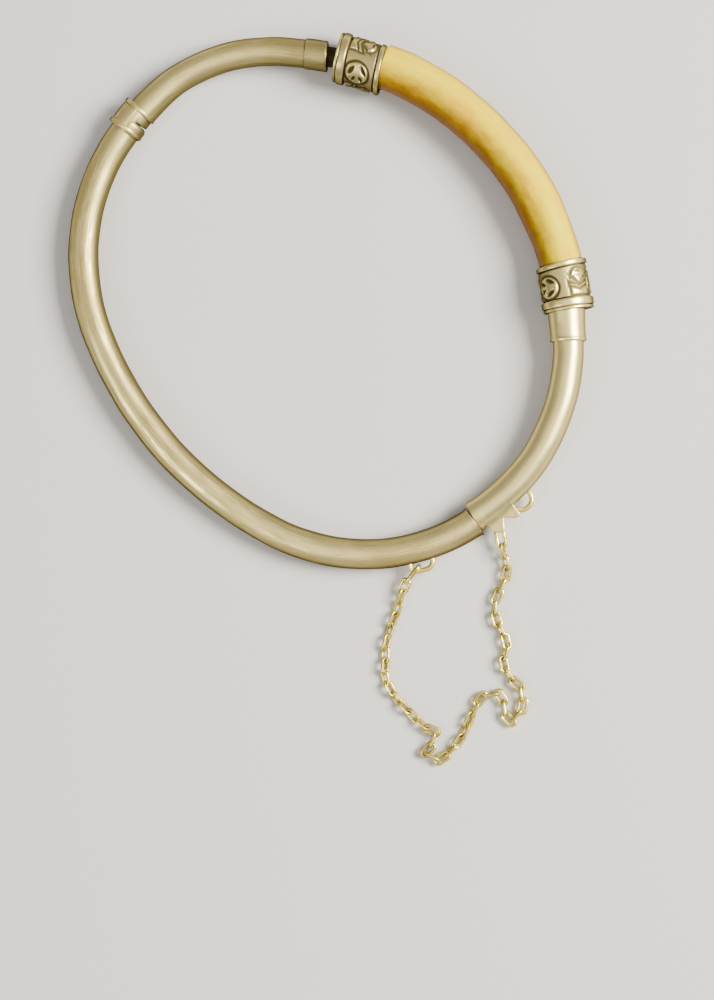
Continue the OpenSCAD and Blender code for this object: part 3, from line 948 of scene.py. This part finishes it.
@dataclass
class SideTube(Part):
    """Tube from the clasp seam up the right side, with ferrule, thumb plate, post and staple.

    The rows of the ferrule are a length from its lip and a radius.
    """

    seam: float = 1.85
    cut: float = 0.12
    bored: float = 3.0
    wall: float = 0.45
    tube_r: float = 1.9
    edge_r: float = 1.99
    edge_l: float = 0.35
    edge_slope: float = 0.07
    lip: float = 27.9
    ferrule: Rows = (
        (-0.1, 1.6), (-0.1, 2.26), (0.25, 2.27), (0.4, 2.2), (2.2, 2.24), (3.88, 2.36), (3.88, 1.4),
    )
    neck_r: float = 1.5
    neck_end: float = 32.9
    sway: Rows = ((1.5, -0.48), (13.5, -0.02), (21.0, 0.07), (25.5, 0.05), (31.0, -0.27))
    staple: Staple = field(
        default_factory=lambda: Staple(at=7.62, span=2.7, reach=3.0, corners=(1.3, 1.3), height=-0.85)
    )
    plate: Fishtail = field(default_factory=Fishtail)
    post: Post = field(default_factory=Post)

    def seam_cut(self, s: Array, out: Array) -> Array:
        """Cuts the end a little higher on the inner side."""
        share = smooth_step(-out, 0.0, self.tube_r)
        return self.cut * share * (1.0 - smooth_step(s, self.seam + 0.1, self.seam + self.bored))

    def slant(self, s: Array, out: Array) -> Array:
        """Slants the ferrule's lip, lower on the inner side, by 0.06 a millimetre."""
        return 0.06 * out * (1.0 - smooth_step(s, self.lip, self.lip + 2.0))

    def build(self) -> Piece:
        """Builds the piece.

        Returns:
            The piece, without its staple.
        """
        draft = Draft(self.line)
        seam, lip, bore = self.seam, self.lip, self.tube_r - self.wall
        edge = seam + self.edge_l
        skin = [(seam + self.bored, bore), (seam, bore), (seam, self.edge_r), (edge, self.edge_r)]
        skin += [(edge + self.edge_slope, self.tube_r), (lip + 1.0, self.tube_r)]
        draft.tube(profile(skin, 0.06), self.seam_cut, self.sway, seed=3, rough=0.016)
        ferrule = [(lip + u, r) for u, r in self.ferrule]
        draft.tube(profile(ferrule, 0.08, 0.25), self.slant, self.sway)
        # The neck is darkened as a recess: oxide in the hollow, with painted shade where it sinks into the
        # collar.
        neck = [(lip + 2.0, self.neck_r), (self.neck_end, self.neck_r)]
        draft.tube(profile(neck, 0.05), sway=self.sway, depth=0.8)
        self.plate.build(draft)
        self.post.build(draft)
        return draft.piece("side_tube_skin", self.finish, Slot.SILVER, "side_tube")


@dataclass
class Hinge:
    """Three stacked knuckles between two flanges, and the blocks inside them."""

    at: float = 106.95
    split: float = 0.6
    dome: float = 2.2
    half: float = 1.2
    flange_l: float = 0.5

    def flange(self, draft: Draft, start: float, radius: float) -> None:
        """Adds a round flange that starts at a place on the line."""
        draft.tube(profile(drum(start, start + self.flange_l, radius), 0.14, 0.12))

    def lower(self, draft: Draft) -> None:
        """Adds the top and bottom knuckles and the inner blocks of the lower tube.

        Args:
            draft: mesh to add to.
        """
        half = self.half
        for side in (1.0, -1.0):
            walls = ((-1.0, 0.0, 0.2), (0.0, -side, -self.split))
            draft.block(self.at, (-half + 0.03, half + 0.05), (0.9, side * 1.15), walls, self.dome)
        # The inner block is darkened as a recess: painted shade of the hollow between the flanges.
        walls, span = ((1.0, 0.0, -0.45),), (0.1, half + 0.65)
        draft.block(self.at, span, core=(-1.35, 0.0), walls=walls, dome=2.34, edge=0.55, depth=0.4)
        walls, span = ((1.0, 0.0, 0.12), (-1.0, 0.0, 0.9)), (-half + 0.1, half + 0.1)
        draft.block(self.at, span, core=(-0.4, 0.0), walls=walls, dome=self.dome - 0.08)

    def upper(self, draft: Draft) -> None:
        """Adds the middle knuckle and the inner block of the upper tube.

        Args:
            draft: mesh to add to.
        """
        half, split = self.half, self.split - 0.06
        walls = ((-1.0, 0.0, 0.2), (0.0, 1.0, split), (0.0, -1.0, split))
        draft.block(self.at, (-half - 0.05, half - 0.03), core=(0.9, 0.0), walls=walls, dome=self.dome - 0.04)
        # The inner block is darkened as a recess: painted shade of the hollow between the flanges.
        walls, span = ((1.0, 0.0, 0.12),), (-half - 0.05, -0.05)
        draft.block(self.at, span, core=(-1.2, 0.0), walls=walls, dome=2.1, edge=0.2, depth=0.4)


@dataclass
class UpperTube(Part):
    """Tube from the left collar to the hinge, with its plain ferrule and dark neck."""

    neck: float = 77.3
    neck_r: float = 1.25
    sleeve: float = 82.4
    sleeve_l: float = 2.7
    sleeve_r: float = 1.95
    tube_r: float = 1.8
    swells: float = 99.0
    swell: float = 0.12
    flange_r: float = 2.3
    tip: float = 105.75
    hinge: Hinge = field(default_factory=Hinge)
    sway: Rows = ((79.5, -0.42), (82.4, -0.33), (87.0, -0.1), (92.0, -0.04), (99.0, -0.05), (104.5, -0.35))

    def slant(self, s: Array, out: Array) -> Array:
        """Slants the sleeve's end at the neck by 0.1 a millimetre, longer on the inner side."""
        return (0.1 * out - 0.1) * (1.0 - smooth_step(s, self.sleeve - self.sleeve_l, self.sleeve - 0.8))

    def build(self) -> Piece:
        """Builds the piece.

        Returns:
            The piece.
        """
        draft = Draft(self.line)
        # The neck is darkened as a recess: oxide in the hollow, with painted shade where it sinks into the
        # collar.
        neck = [(self.neck, self.neck_r), (self.sleeve - 1.5, self.neck_r)]
        draft.tube(profile(neck, 0.02), sway=self.sway, depth=1.0)
        sleeve = drum(self.sleeve - self.sleeve_l, self.sleeve, self.sleeve_r)
        draft.tube(profile(sleeve, 0.08, 0.2), self.slant, self.sway, seed=11, rough=0.008)
        tube = [(self.sleeve - 0.5, self.tube_r), (self.swells, self.tube_r)]
        tube += [(self.tip - 0.1, self.tube_r + self.swell)]
        draft.tube(profile(tube), sway=self.sway, seed=12, rough=0.016)
        self.hinge.flange(draft, self.tip - self.hinge.flange_l, self.flange_r)
        self.hinge.upper(draft)
        return draft.piece("upper_tube_skin", self.finish, Slot.SILVER, "upper_tube")


@dataclass
class LowerTube(Part):
    """Tube from the hinge round the left and the bottom to the clasp seam."""

    first: float = 108.15
    last: float = 196.186
    bored: float = 3.0
    tube_r: float = 1.9
    wall: float = 0.45
    flange_r: float = 2.35
    ring_r: float = 2.05
    ring_l: float = 0.5
    close: float = 0.06
    open: float = 0.15
    hinge: Hinge = field(default_factory=Hinge)
    sway: Rows = (
        (108.5, -0.1), (115.0, 0.07), (121.0, 0.15), (147.0, 0.15),
        (168.0, 0.0), (176.0, -0.1), (185.0, -0.1), (196.0, 0.04),
    )
    staple: Staple = field(
        default_factory=lambda: Staple(at=188.2, span=2.9, reach=2.85, corners=(0.9, 1.0), height=0.0)
    )

    def seam_cut(self, s: Array, out: Array) -> Array:
        """Closes the seam on the outer side and draws the end back on the inner half, as 3t^2 - 2t^3."""
        share = smooth_step(s, self.last - 2.5, self.last - 0.6)
        return share * (self.close - self.open * smooth_step(-out, -0.3, self.tube_r))

    def build(self) -> Piece:
        """Builds the piece.

        Returns:
            The piece, without its staple.
        """
        draft = Draft(self.line)
        last, bore = self.last, self.tube_r - self.wall
        ring = last - self.ring_l
        skin = [(self.first, self.tube_r), (ring, self.tube_r), (ring + 0.06, self.ring_r)]
        skin += [(last, self.ring_r), (last, bore), (last - self.bored, bore)]
        draft.tube(profile(skin, 0.07), self.seam_cut, self.sway, seed=21, rough=0.018)
        self.hinge.flange(draft, self.first, self.flange_r)
        self.hinge.lower(draft)
        return draft.piece("lower_tube_skin", self.finish, Slot.SILVER, "lower_tube")


@dataclass
class Relief:
    """Cast ornament round a collar: veined medallions and buds over a chevron.

    Distances are worked out in millimetres on the unrolled field, x round the
    collar and y towards the ivory, for the nearest of six listed motifs: each
    row of motifs has an angle from the first medallion and whether a medallion
    stands there. Each row of cells is a leaf-shaped cell of a medallion: x, y,
    turn in degrees, length and width. The plain ground between the motifs is
    raised too, and narrow grooves part them.
    """

    height: float = 0.24
    ground: float = 0.42
    groove: float = 0.2
    medallion_r: float = 1.42
    medallion_y: float = -0.3
    motifs: tuple[tuple[float, bool], ...] = (
        (0.0, True), (-80.0, False), (-131.0, True), (-181.0, False), (124.0, True), (62.0, False),
    )
    cells: tuple[tuple[float, float, float, float, float], ...] = (
        (-0.46, 0.80, 30.0, 1.55, 0.66),
        (-0.28, -0.74, 152.0, 1.60, 0.66),
        (0.66, 0.56, 28.0, 1.10, 0.54),
        (0.74, -0.34, 152.0, 1.00, 0.50),
    )

    @staticmethod
    def leaf(x: Array, y: Array, turn: float, length: float, width: float) -> Array:
        """Signed distance to a pointed leaf where two circles cross.

        Args:
            x: places round the collar, from the leaf's middle.
            y: places towards the ivory, from the leaf's middle.
            turn: the leaf's turn in degrees.
            length: its length.
            width: its width.

        Returns:
            Distances, less than 0 inside.
        """
        a = np.radians(turn)
        along, across = x * np.cos(a) + y * np.sin(a), -x * np.sin(a) + y * np.cos(a)
        r = (length**2 + width**2) / (4.0 * width)
        return np.hypot(along, np.abs(across) + r - width / 2) - r

    @staticmethod
    def raised(distance: Array, slope: float) -> Array:
        """Goes from 0 outside to 1 inside over a slope."""
        return smooth_step(-distance, -slope / 2, slope)

    def medallion(self, x: Array, y: Array) -> tuple[Array, Array]:
        """Veined disc: a domed face with four sunk cells.

        Args:
            x: places round the collar, from the disc's middle.
            y: places towards the ivory, from the disc's middle.

        Returns:
            The distance to the edge, less than 0 inside, and the face's height from 0 to 1.
        """
        rho = np.hypot(x, y)
        face = 0.8 + 0.2 * smooth_step(np.abs(rho - 1.2), 0.25, 0.05)
        for cx, cy, turn, length, width in self.cells:
            face = face * (1.0 - 0.95 * self.raised(self.leaf(x - cx, y - cy, turn, length, width), 0.18))
        return rho - self.medallion_r, face

    def palmette(self, x: Array, y: Array) -> tuple[Array, Array]:
        """Bud over a chevron and a bell-shaped foot.

        Args:
            x: places round the collar, from the bud's middle.
            y: places towards the ivory, from the middle of the field.

        Returns:
            The distance to the edges, less than 0 inside, and the face's height from 0 to 1.
        """
        wide = np.abs(x)
        fold = y - 0.34 * wide
        top = np.maximum(np.hypot(x, (y - 0.62) * 1.1) - 0.98, 0.5 - y)
        point = np.maximum(0.8 * wide - 0.6 * (y + 0.46), y - 0.7)
        chevron = np.maximum(np.maximum(0.9 * (fold + 0.62), -0.9 * (fold + 0.92)), wide - 1.25)
        foot = np.maximum(np.maximum(0.9 * (fold + 1.12), -y - 1.72), wide - 1.15)
        eye = 0.2 * (np.hypot((x + 0.1) / 0.52, (y - 1.1) / 0.15) - 1.0)
        face = 1.0 - 0.85 * self.raised(eye, 0.06)
        return np.min([top, point, chevron, foot], axis=0), face

    def field(self, angle: Array, y: Array, radius: float) -> Array:
        """Height of the ornament over its field.

        Args:
            angle: angles from the first medallion.
            y: distances from the middle of the field, towards the ivory.
            radius: radius of the field.

        Returns:
            Heights in millimetres.
        """
        away = angle[..., None] - np.radians([place for place, _ in self.motifs])
        away = np.mod(away + np.pi, 2.0 * np.pi) - np.pi
        nearest = np.argmin(np.abs(away), axis=-1)
        x = np.take_along_axis(away, nearest[..., None], axis=-1)[..., 0] * radius
        disc, disc_face = self.medallion(x, y - self.medallion_y)
        bud, bud_face = self.palmette(x, y)
        is_disc = np.array([disc for _, disc in self.motifs])[nearest]
        distance = np.where(is_disc, disc, bud)
        motif = self.raised(distance, 0.2) * np.where(is_disc, disc_face, bud_face)
        ground = self.ground * smooth_step(distance, 0.3 * self.groove, 2.4 * self.groove)
        return self.height * np.maximum(motif, ground)


@dataclass
class Collar(Part):
    """Embossed silver collar between a tube and the ivory.

    Each row of bands is where a raised band begins and ends, measured from the
    tube's end, and its radius. The bores reach to the neck's floor and the
    ivory's floor. Bright are the radius and the share of the relief's height
    from which nothing is darkened as a recess.
    """

    node: str
    middle: float
    towards_ivory: float
    first_medallion: float
    set_off: Pair
    tilt: float
    slant: Pair
    length: float = 5.9
    bore: float = 2.6
    neck: float = 1.62
    neck_floor: float = 1.3
    ivory_floor: float = 1.2
    field_r: float = 2.92
    groove_r: float = 2.86
    bright: Pair = (3.06, 0.78)
    relief: Relief = field(default_factory=Relief)
    field_ends: Pair = (1.46, 5.22)
    bands: tuple[Triple, ...] = ((0.0, 0.34, 3.14), (0.40, 1.36, 3.27), (5.32, 5.90, 3.18))
    rows: int = 168
    columns: int = 432

    def outside(self, u: Array) -> Array:
        """Radius of the plain turned outside, without the ornament.

        Each band is a superellipse, its radius falling by (1 - |t|^5)^(1/5)
        from its middle to its edges, over the grooves.

        Args:
            u: distances from the tube end.

        Returns:
            Radii.
        """
        low, high = self.field_ends
        inside = between(u, (low - 0.06, low + 0.06), (high - 0.06, high + 0.06))
        r = self.groove_r + (self.field_r - self.groove_r) * inside
        for low, high, top in self.bands:
            t = np.abs(2.0 * (u - low) / (high - low) - 1.0)
            crown = np.clip(1.0 - t**5, 0.0, 1.0) ** 0.2
            r = np.maximum(r, self.groove_r - 0.12 + (top - self.groove_r + 0.12) * crown)
        return r

    def build(self) -> Piece:
        """Builds the piece: the embossed outside, the rims and the two bores.

        The whole is turned by the tilt t in its plane, out' = out cos t - along sin t
        and along' = along cos t + out (sin t + slant), and set off outward and
        along. The slant goes evenly from its value at the tube to that at the ivory.

        Returns:
            The piece.
        """
        angle = circle_angles(self.columns)
        u, around = np.meshgrid(np.linspace(0.0, self.length, self.rows), angle, indexing="ij")
        low, high = self.field_ends
        first, y = np.radians(self.first_medallion), u - (low + high) / 2
        relief = self.relief.field(around - first, y, self.field_r)
        relief = relief * between(u, (low - 0.02, low + 0.16), (high - 0.16, high + 0.02))
        plain = self.outside(u)
        in_field = between(u, (low - 0.17, low - 0.02), (high + 0.04, high + 0.14))
        bright_r, bright_share = self.bright
        depth = in_field * (1 - relief / (bright_share * self.relief.height))
        depth = depth + (1 - in_field) * (bright_r - plain) / 0.2
        ends = ((3, 3), (0, 0))
        depth = np.pad(np.clip(depth, 0.0, 1.0), ends, constant_values=1.0)
        radius = np.pad(plain + relief + handwork(u, around, 31, 0.008), ends)
        radius[:3], radius[-3:] = self.neck, self.bore
        radius[[0, -1]] = 1.0
        floors = [self.neck_floor] * 2 + [0.0], [self.length] + [self.ivory_floor] * 2
        at = np.concatenate([floors[0], u[:, 0], floors[1]])[:, None]
        along = (at - self.length / 2) * self.towards_ivory + 0.0 * radius
        out, up = radius * np.cos(angle), radius * np.sin(angle)
        flow = np.stack([self.middle + along, out, up], axis=-1)
        c, s = np.cos(np.radians(self.tilt)), np.sin(np.radians(self.tilt))
        slant = self.slant[0] + (self.slant[1] - self.slant[0]) * at / self.length
        out, along = out * c - along * s + self.set_off[0], along * c + out * (s + slant) + self.set_off[1]
        draft = Draft(self.line)
        draft.add(self.line.place(self.middle, along, out, up), flow, depth)
        return draft.piece(self.node + "_cast", self.finish, Slot.SILVER, self.node)


@dataclass
class IvoryBar(Part):
    """Plain round bar of ivory between the collars, whose thinner ends sit in their bores."""

    first: float = 37.72
    last: float = 72.38
    tenon_r: float = 2.5
    tenon_l: float = 0.9
    radii: Rows = ((38.0, 2.68), (46.0, 2.82), (60.0, 2.80), (72.0, 2.84))
    sway: Rows = ((38.0, -0.1), (46.0, -0.25), (54.0, -0.38), (60.0, -0.38), (66.0, -0.15), (71.0, -0.02))

    def build(self) -> Piece:
        """Builds the piece, a little thicker away from the lower end and flatter in its bend.

        Returns:
            The piece.
        """
        first, last, deep = self.first, self.last, self.tenon_l
        body = np.arange(first + 0.05, last, 0.4)
        s = np.concatenate([[first - deep] * 2 + [first] * 2, body, [last] * 2 + [last + deep] * 2])
        r = eased(s, self.radii)
        r[[0, -1]] = 1.0
        r[[1, 2, -2, -3]] = self.tenon_r
        draft = Draft(self.line)
        draft.tube(np.stack([s, r], axis=1), sway=self.sway, seed=41, rough=0.02)
        return draft.piece("ivory_bar", self.finish, Slot.IVORY, "ivory_arc")


@dataclass
class SafetyChain(Part):
    """Gilt cable chain from the staple to the post, each link hooked round the next.

    The rows of the route are x, y, z and the turn of the flat links in degrees.
    Blunt is how soon a link's straights run out at its ends, and how flat its
    long sides are.
    """

    width: float = 1.1
    length: float = 1.97
    wire_r: float = 0.215
    links: int = 47
    ring_scale: float = 1.4
    narrow: float = 0.88
    blunt: Pair = (2.6, 1.08)
    seat: float = 0.5
    route_steps: int = 40
    route: tuple[tuple[float, float, float, float], ...] = (
        (11.1, -32.9, 2.3, 0), (9.8, -34.4, 1.8, 0), (8.9, -36.1, 1.1, 10), (8.4, -37.9, 0.72, 40),
        (7.8, -39.6, 0.6, 45), (7.2, -41.3, 0.6, 45), (6.8, -42.8, 0.6, 35), (6.8, -44.7, 0.6, 35),
        (6.7, -46.2, 0.6, 45), (7.0, -47.5, 0.6, 45), (7.8, -48.9, 0.6, 55), (8.8, -50.1, 0.6, 45),
        (9.8, -51.1, 0.6, 35), (10.7, -52.0, 0.64, 40), (11.8, -53.0, 0.72, 20), (13.0, -53.5, 0.74, 0),
        (14.1, -53.8, 0.74, 5), (14.0, -54.9, 0.74, 0), (12.5, -55.4, 0.74, 0), (11.5, -56.5, 0.74, 0),
        (11.8, -57.4, 0.74, 0), (13.1, -57.2, 0.74, 0), (14.3, -56.5, 0.74, 0), (15.3, -55.5, 0.72, 20),
        (16.2, -54.3, 0.64, 40), (16.9, -53.0, 0.6, 35), (17.4, -51.7, 0.66, 40), (18.1, -50.4, 0.72, 25),
        (18.7, -49.2, 0.74, 0), (20.2, -48.7, 0.74, 0), (21.3, -49.0, 0.74, 0), (21.6, -50.3, 0.74, 0),
        (22.0, -51.9, 0.74, 0), (23.0, -52.2, 0.74, 0), (23.7, -51.1, 0.74, 0), (24.0, -49.5, 0.74, -5),
        (23.8, -48.1, 0.74, 0), (22.8, -47.2, 0.74, 0), (21.9, -46.0, 0.72, 20), (21.5, -44.6, 0.7, 30),
        (22.0, -43.2, 0.7, 25), (21.7, -41.7, 0.7, 20), (21.0, -40.5, 0.7, 20), (20.6, -39.2, 0.72, 10),
        (20.1, -37.8, 0.74, 0), (20.8, -36.7, 0.74, 0), (21.2, -35.5, 0.74, 0), (21.8, -34.3, 0.7, 20),
        (22.0, -32.9, 0.95, 30), (21.7, -31.6, 1.2, 55), (21.4, -30.4, 1.65, 85), (21.2, -29.5, 1.85, 60),
        (21.0, -27.8, 1.8, 95),
    )

    def smooth_route(self) -> Array:
        """Curve through the route's rows, the Catmull-Rom blend of four at a time.

        Returns:
            Rows of x, y, z and turn.
        """
        rows = np.array(self.route)
        padded = np.concatenate([rows[:1], rows, rows[-1:]])
        a, b, c, d = (padded[i : len(rows) - 1 + i][:, None] for i in range(4))
        t = (np.arange(self.route_steps) / self.route_steps)[None, :, None]
        curve = 2 * b + (c - a) * t + (2 * a - 5 * b + 4 * c - d) * t**2 + (3 * b - a - 3 * c + d) * t**3
        return np.concatenate([(curve / 2).reshape(-1, 4), rows[-1:]])

    def pivots(self, curve: Array, scales: Array) -> Array:
        """Steps along the curve from link to link.

        An upright link spans its full length, and a flat one two seats less.

        Args:
            curve: rows of x, y, z and turn.
            scales: size of each link.

        Returns:
            Indices into the curve, one more than there are links.
        """
        found = [0]
        for k in range(self.links):
            step = self.length * scales[k] if k % 2 == 0 else self.length - 2 * self.seat
            away = np.linalg.norm(curve[found[-1] + 1 :, :3] - curve[found[-1], :3], axis=1)
            found.append(found[-1] + 1 + int(np.argmax(away >= step)))
        return np.array(found)

    def build(self) -> Piece:
        """Builds all links from one array.

        A link is an oval path of two half rounds and two straights, with a
        round wire about it, laid in the frame of travel, width and face.

        Returns:
            The piece.
        """
        scales = np.ones(self.links)
        scales[[0, -1]] = self.ring_scale
        curve = self.smooth_route()
        at = self.pivots(curve, scales)
        a, b = curve[at[:-1], :3], curve[at[1:], :3]
        turn = (curve[at[:-1], 3] + curve[at[1:], 3]) / 2
        turn = np.radians(turn + 90.0 * (np.arange(self.links) % 2 == 0))[:, None]
        travel = unit(b - a)
        level = unit(np.cross([0.0, 0.0, 1.0], travel))
        wide = level * np.cos(turn) + np.cross(travel, level) * np.sin(turn)
        face = np.cross(travel, wide)
        theta = full_turn(32)
        bend, straight = self.width / 2, self.length - self.width
        x = bend * np.cos(theta) + straight / 2 * np.clip(self.blunt[0] * np.cos(theta), -1.0, 1.0)
        y = bend * np.clip(self.blunt[1] * np.sin(theta), -1.0, 1.0)
        normal = unit(np.stack([np.roll(y, -1) - np.roll(y, 1), np.roll(x, 1) - np.roll(x, -1)], axis=1))
        wire = circle_angles(12)
        # Painted shade: the inner side of each link's ends, where the next link hooks through, gets a depth.
        painted_link_shade = np.clip(-np.cos(wire)[None, :] * np.abs(np.cos(theta))[:, None] ** 3, 0.0, 1.0)
        draft = Draft(self.line)
        for k, scale in enumerate(scales):
            r = self.wire_r * scale**0.5
            px = scale * x[:, None] + r * np.cos(wire) * normal[:, :1]
            py = self.narrow * y[:, None] + r * np.cos(wire) * normal[:, 1:]
            local = np.stack([px, py, r * np.sin(wire) + 0.0 * px], axis=-1)
            points = (a[k] + b[k]) / 2 + local @ np.stack([travel[k], wide[k], face[k]])
            draft.add(points, local + np.array([k * 3.0, 0.0, 0.0]), 0.6 * painted_link_shade, ring=True)
        return draft.piece("safety_chain_links", self.finish, Slot.GILT, "safety_chain")


@dataclass
class Studio:
    """Pale floor, soft lights and the camera at the photograph's angle.

    Each row of lamps is a name, a place and the side of its square in metres,
    its watts and its tint.
    """

    eye: Triple = (26.097, -37.100, 337.960)
    focal_px: float = 2700.0
    down_px: Pair = (183.0, -100.0)
    image_h: float = 1000.0
    sensor: float = 36.0
    floor_half: float = 1.5
    floor_z: float = -0.00003
    sky: Colour = (0.85, 0.88, 0.92, 1.0)
    sky_strength: float = 0.11
    lamps: tuple[tuple[str, Triple, float, float, Triple], ...] = (
        ("key", (0.46, 0.06, 0.44), 0.30, 12.5, (1.0, 0.95, 0.86)),
        ("overhead", (0.04, -0.16, 0.80), 0.9, 2.5, (1.0, 0.96, 0.90)),
        ("fill", (-0.42, -0.30, 0.46), 0.3, 2.3, (1.0, 0.96, 0.90)),
    )

    def camera(self) -> None:
        """Sets up the camera.

        The floor's normal, seen in the camera's axes, is known from where
        upright lines meet in the photograph, and the camera's X axis lies
        level along the floor's X axis.
        """
        up = -unit(np.array([*self.down_px, -self.focal_px]))
        east = unit(np.array([1.0, 0.0, 0.0]) - up * up[0])
        data = bpy.data.cameras.new("camera")
        data.sensor_fit = "VERTICAL"
        data.sensor_height = self.sensor
        data.lens = self.focal_px / self.image_h * self.sensor
        data.clip_start, data.clip_end = 0.01, 10.0
        turn = np.stack([east, np.cross(up, east), up])
        bpy.context.scene.camera = put("camera", data, turn, tuple(METRES * x for x in self.eye))

    def lamp(self, name: str, place: Triple, size: float, watts: float, tint: Triple) -> None:
        """Adds a soft square light that faces the bangle's middle.

        Args:
            name: name of the light.
            place: its place in metres.
            size: length of its side in metres.
            watts: its power.
            tint: its colour.
        """
        data = bpy.data.lights.new(name, "AREA")
        data.shape, data.size, data.energy, data.color = "SQUARE", size, watts, tint
        aim = -unit(np.array(place))
        side = unit(np.cross(aim, [0.0, 0.0, 1.0]))
        put(name, data, np.stack([side, np.cross(side, aim), -aim], axis=1), place)

    def floor(self, finish: Material) -> None:
        """Lays the floor just under the bangle.

        Args:
            finish: its material.
        """
        mesh = bpy.data.meshes.new("floor")
        half, level = self.floor_half, self.floor_z
        corners = [(x * half, y * half, level) for x, y in ((-1, -1), (1, -1), (1, 1), (-1, 1))]
        mesh.from_pydata(corners, [], [(0, 1, 2, 3)])
        mesh.materials.append(finish)
        put("floor", mesh)

    def build(self, finish: Material) -> None:
        """Sets up camera, floor, lights and a dim even sky.

        Args:
            finish: the floor's material.
        """
        self.camera()
        self.floor(finish)
        for row in self.lamps:
            self.lamp(*row)
        world = bpy.data.worlds.new("sky")
        world.use_nodes = True
        inputs = world.node_tree.nodes["Background"].inputs
        inputs["Color"].default_value = self.sky
        inputs["Strength"].default_value = self.sky_strength
        bpy.context.scene.world = world


def dress_node(frame: dict, node: str, finish: Material) -> None:
    """Gives a CAD node that stays visible its finish.

    Args:
        frame: the loaded frame.
        node: name of the node.
        finish: its material.
    """
    kept = frame["nodes"][node]
    kept.data.materials.clear()
    kept.data.materials.append(finish)
    LOG.info("%s: CAD node kept, finished", node)


def main() -> None:
    """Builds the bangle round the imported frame."""
    logging.basicConfig(level=logging.INFO, format="%(name)s: %(message)s")
    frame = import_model()
    line = Centreline()
    Studio().build(Paper("pale_floor").material())
    wire = YELLOW.material()
    side_tube, lower_tube = SideTube(line, BRIGHTER.material()), LowerTube(line, LOWER.material())
    side_tube.build()
    side_tube.staple.build(line, wire, "side_tube")
    UpperTube(line, UPPER.material()).build()
    lower_tube.build()
    lower_tube.staple.build(line, wire, "lower_tube")
    Collar(
        line, CAST.material(), "collar_right", middle=34.75, towards_ivory=1.0,
        first_medallion=134.0, set_off=(-0.13, -0.18), tilt=1.0, slant=(-0.027, 0.07),
    ).build()
    Collar(
        line, DULL_AND_SHADED.material(), "collar_left", middle=75.35, towards_ivory=-1.0,
        first_medallion=124.0, set_off=(-0.5, 0.0), tilt=-2.5, slant=(0.077, 0.1),
    ).build()
    IvoryBar(line, Ivory("honey_ivory").material()).build()
    SafetyChain(line, Gilt("pale_gilt").material()).build()
    hidden = HIDDEN.material()
    dress_node(frame, "hinge_pin", hidden)
    dress_node(frame, "clasp_tongue", hidden)


if __name__ == "__main__":
    main()
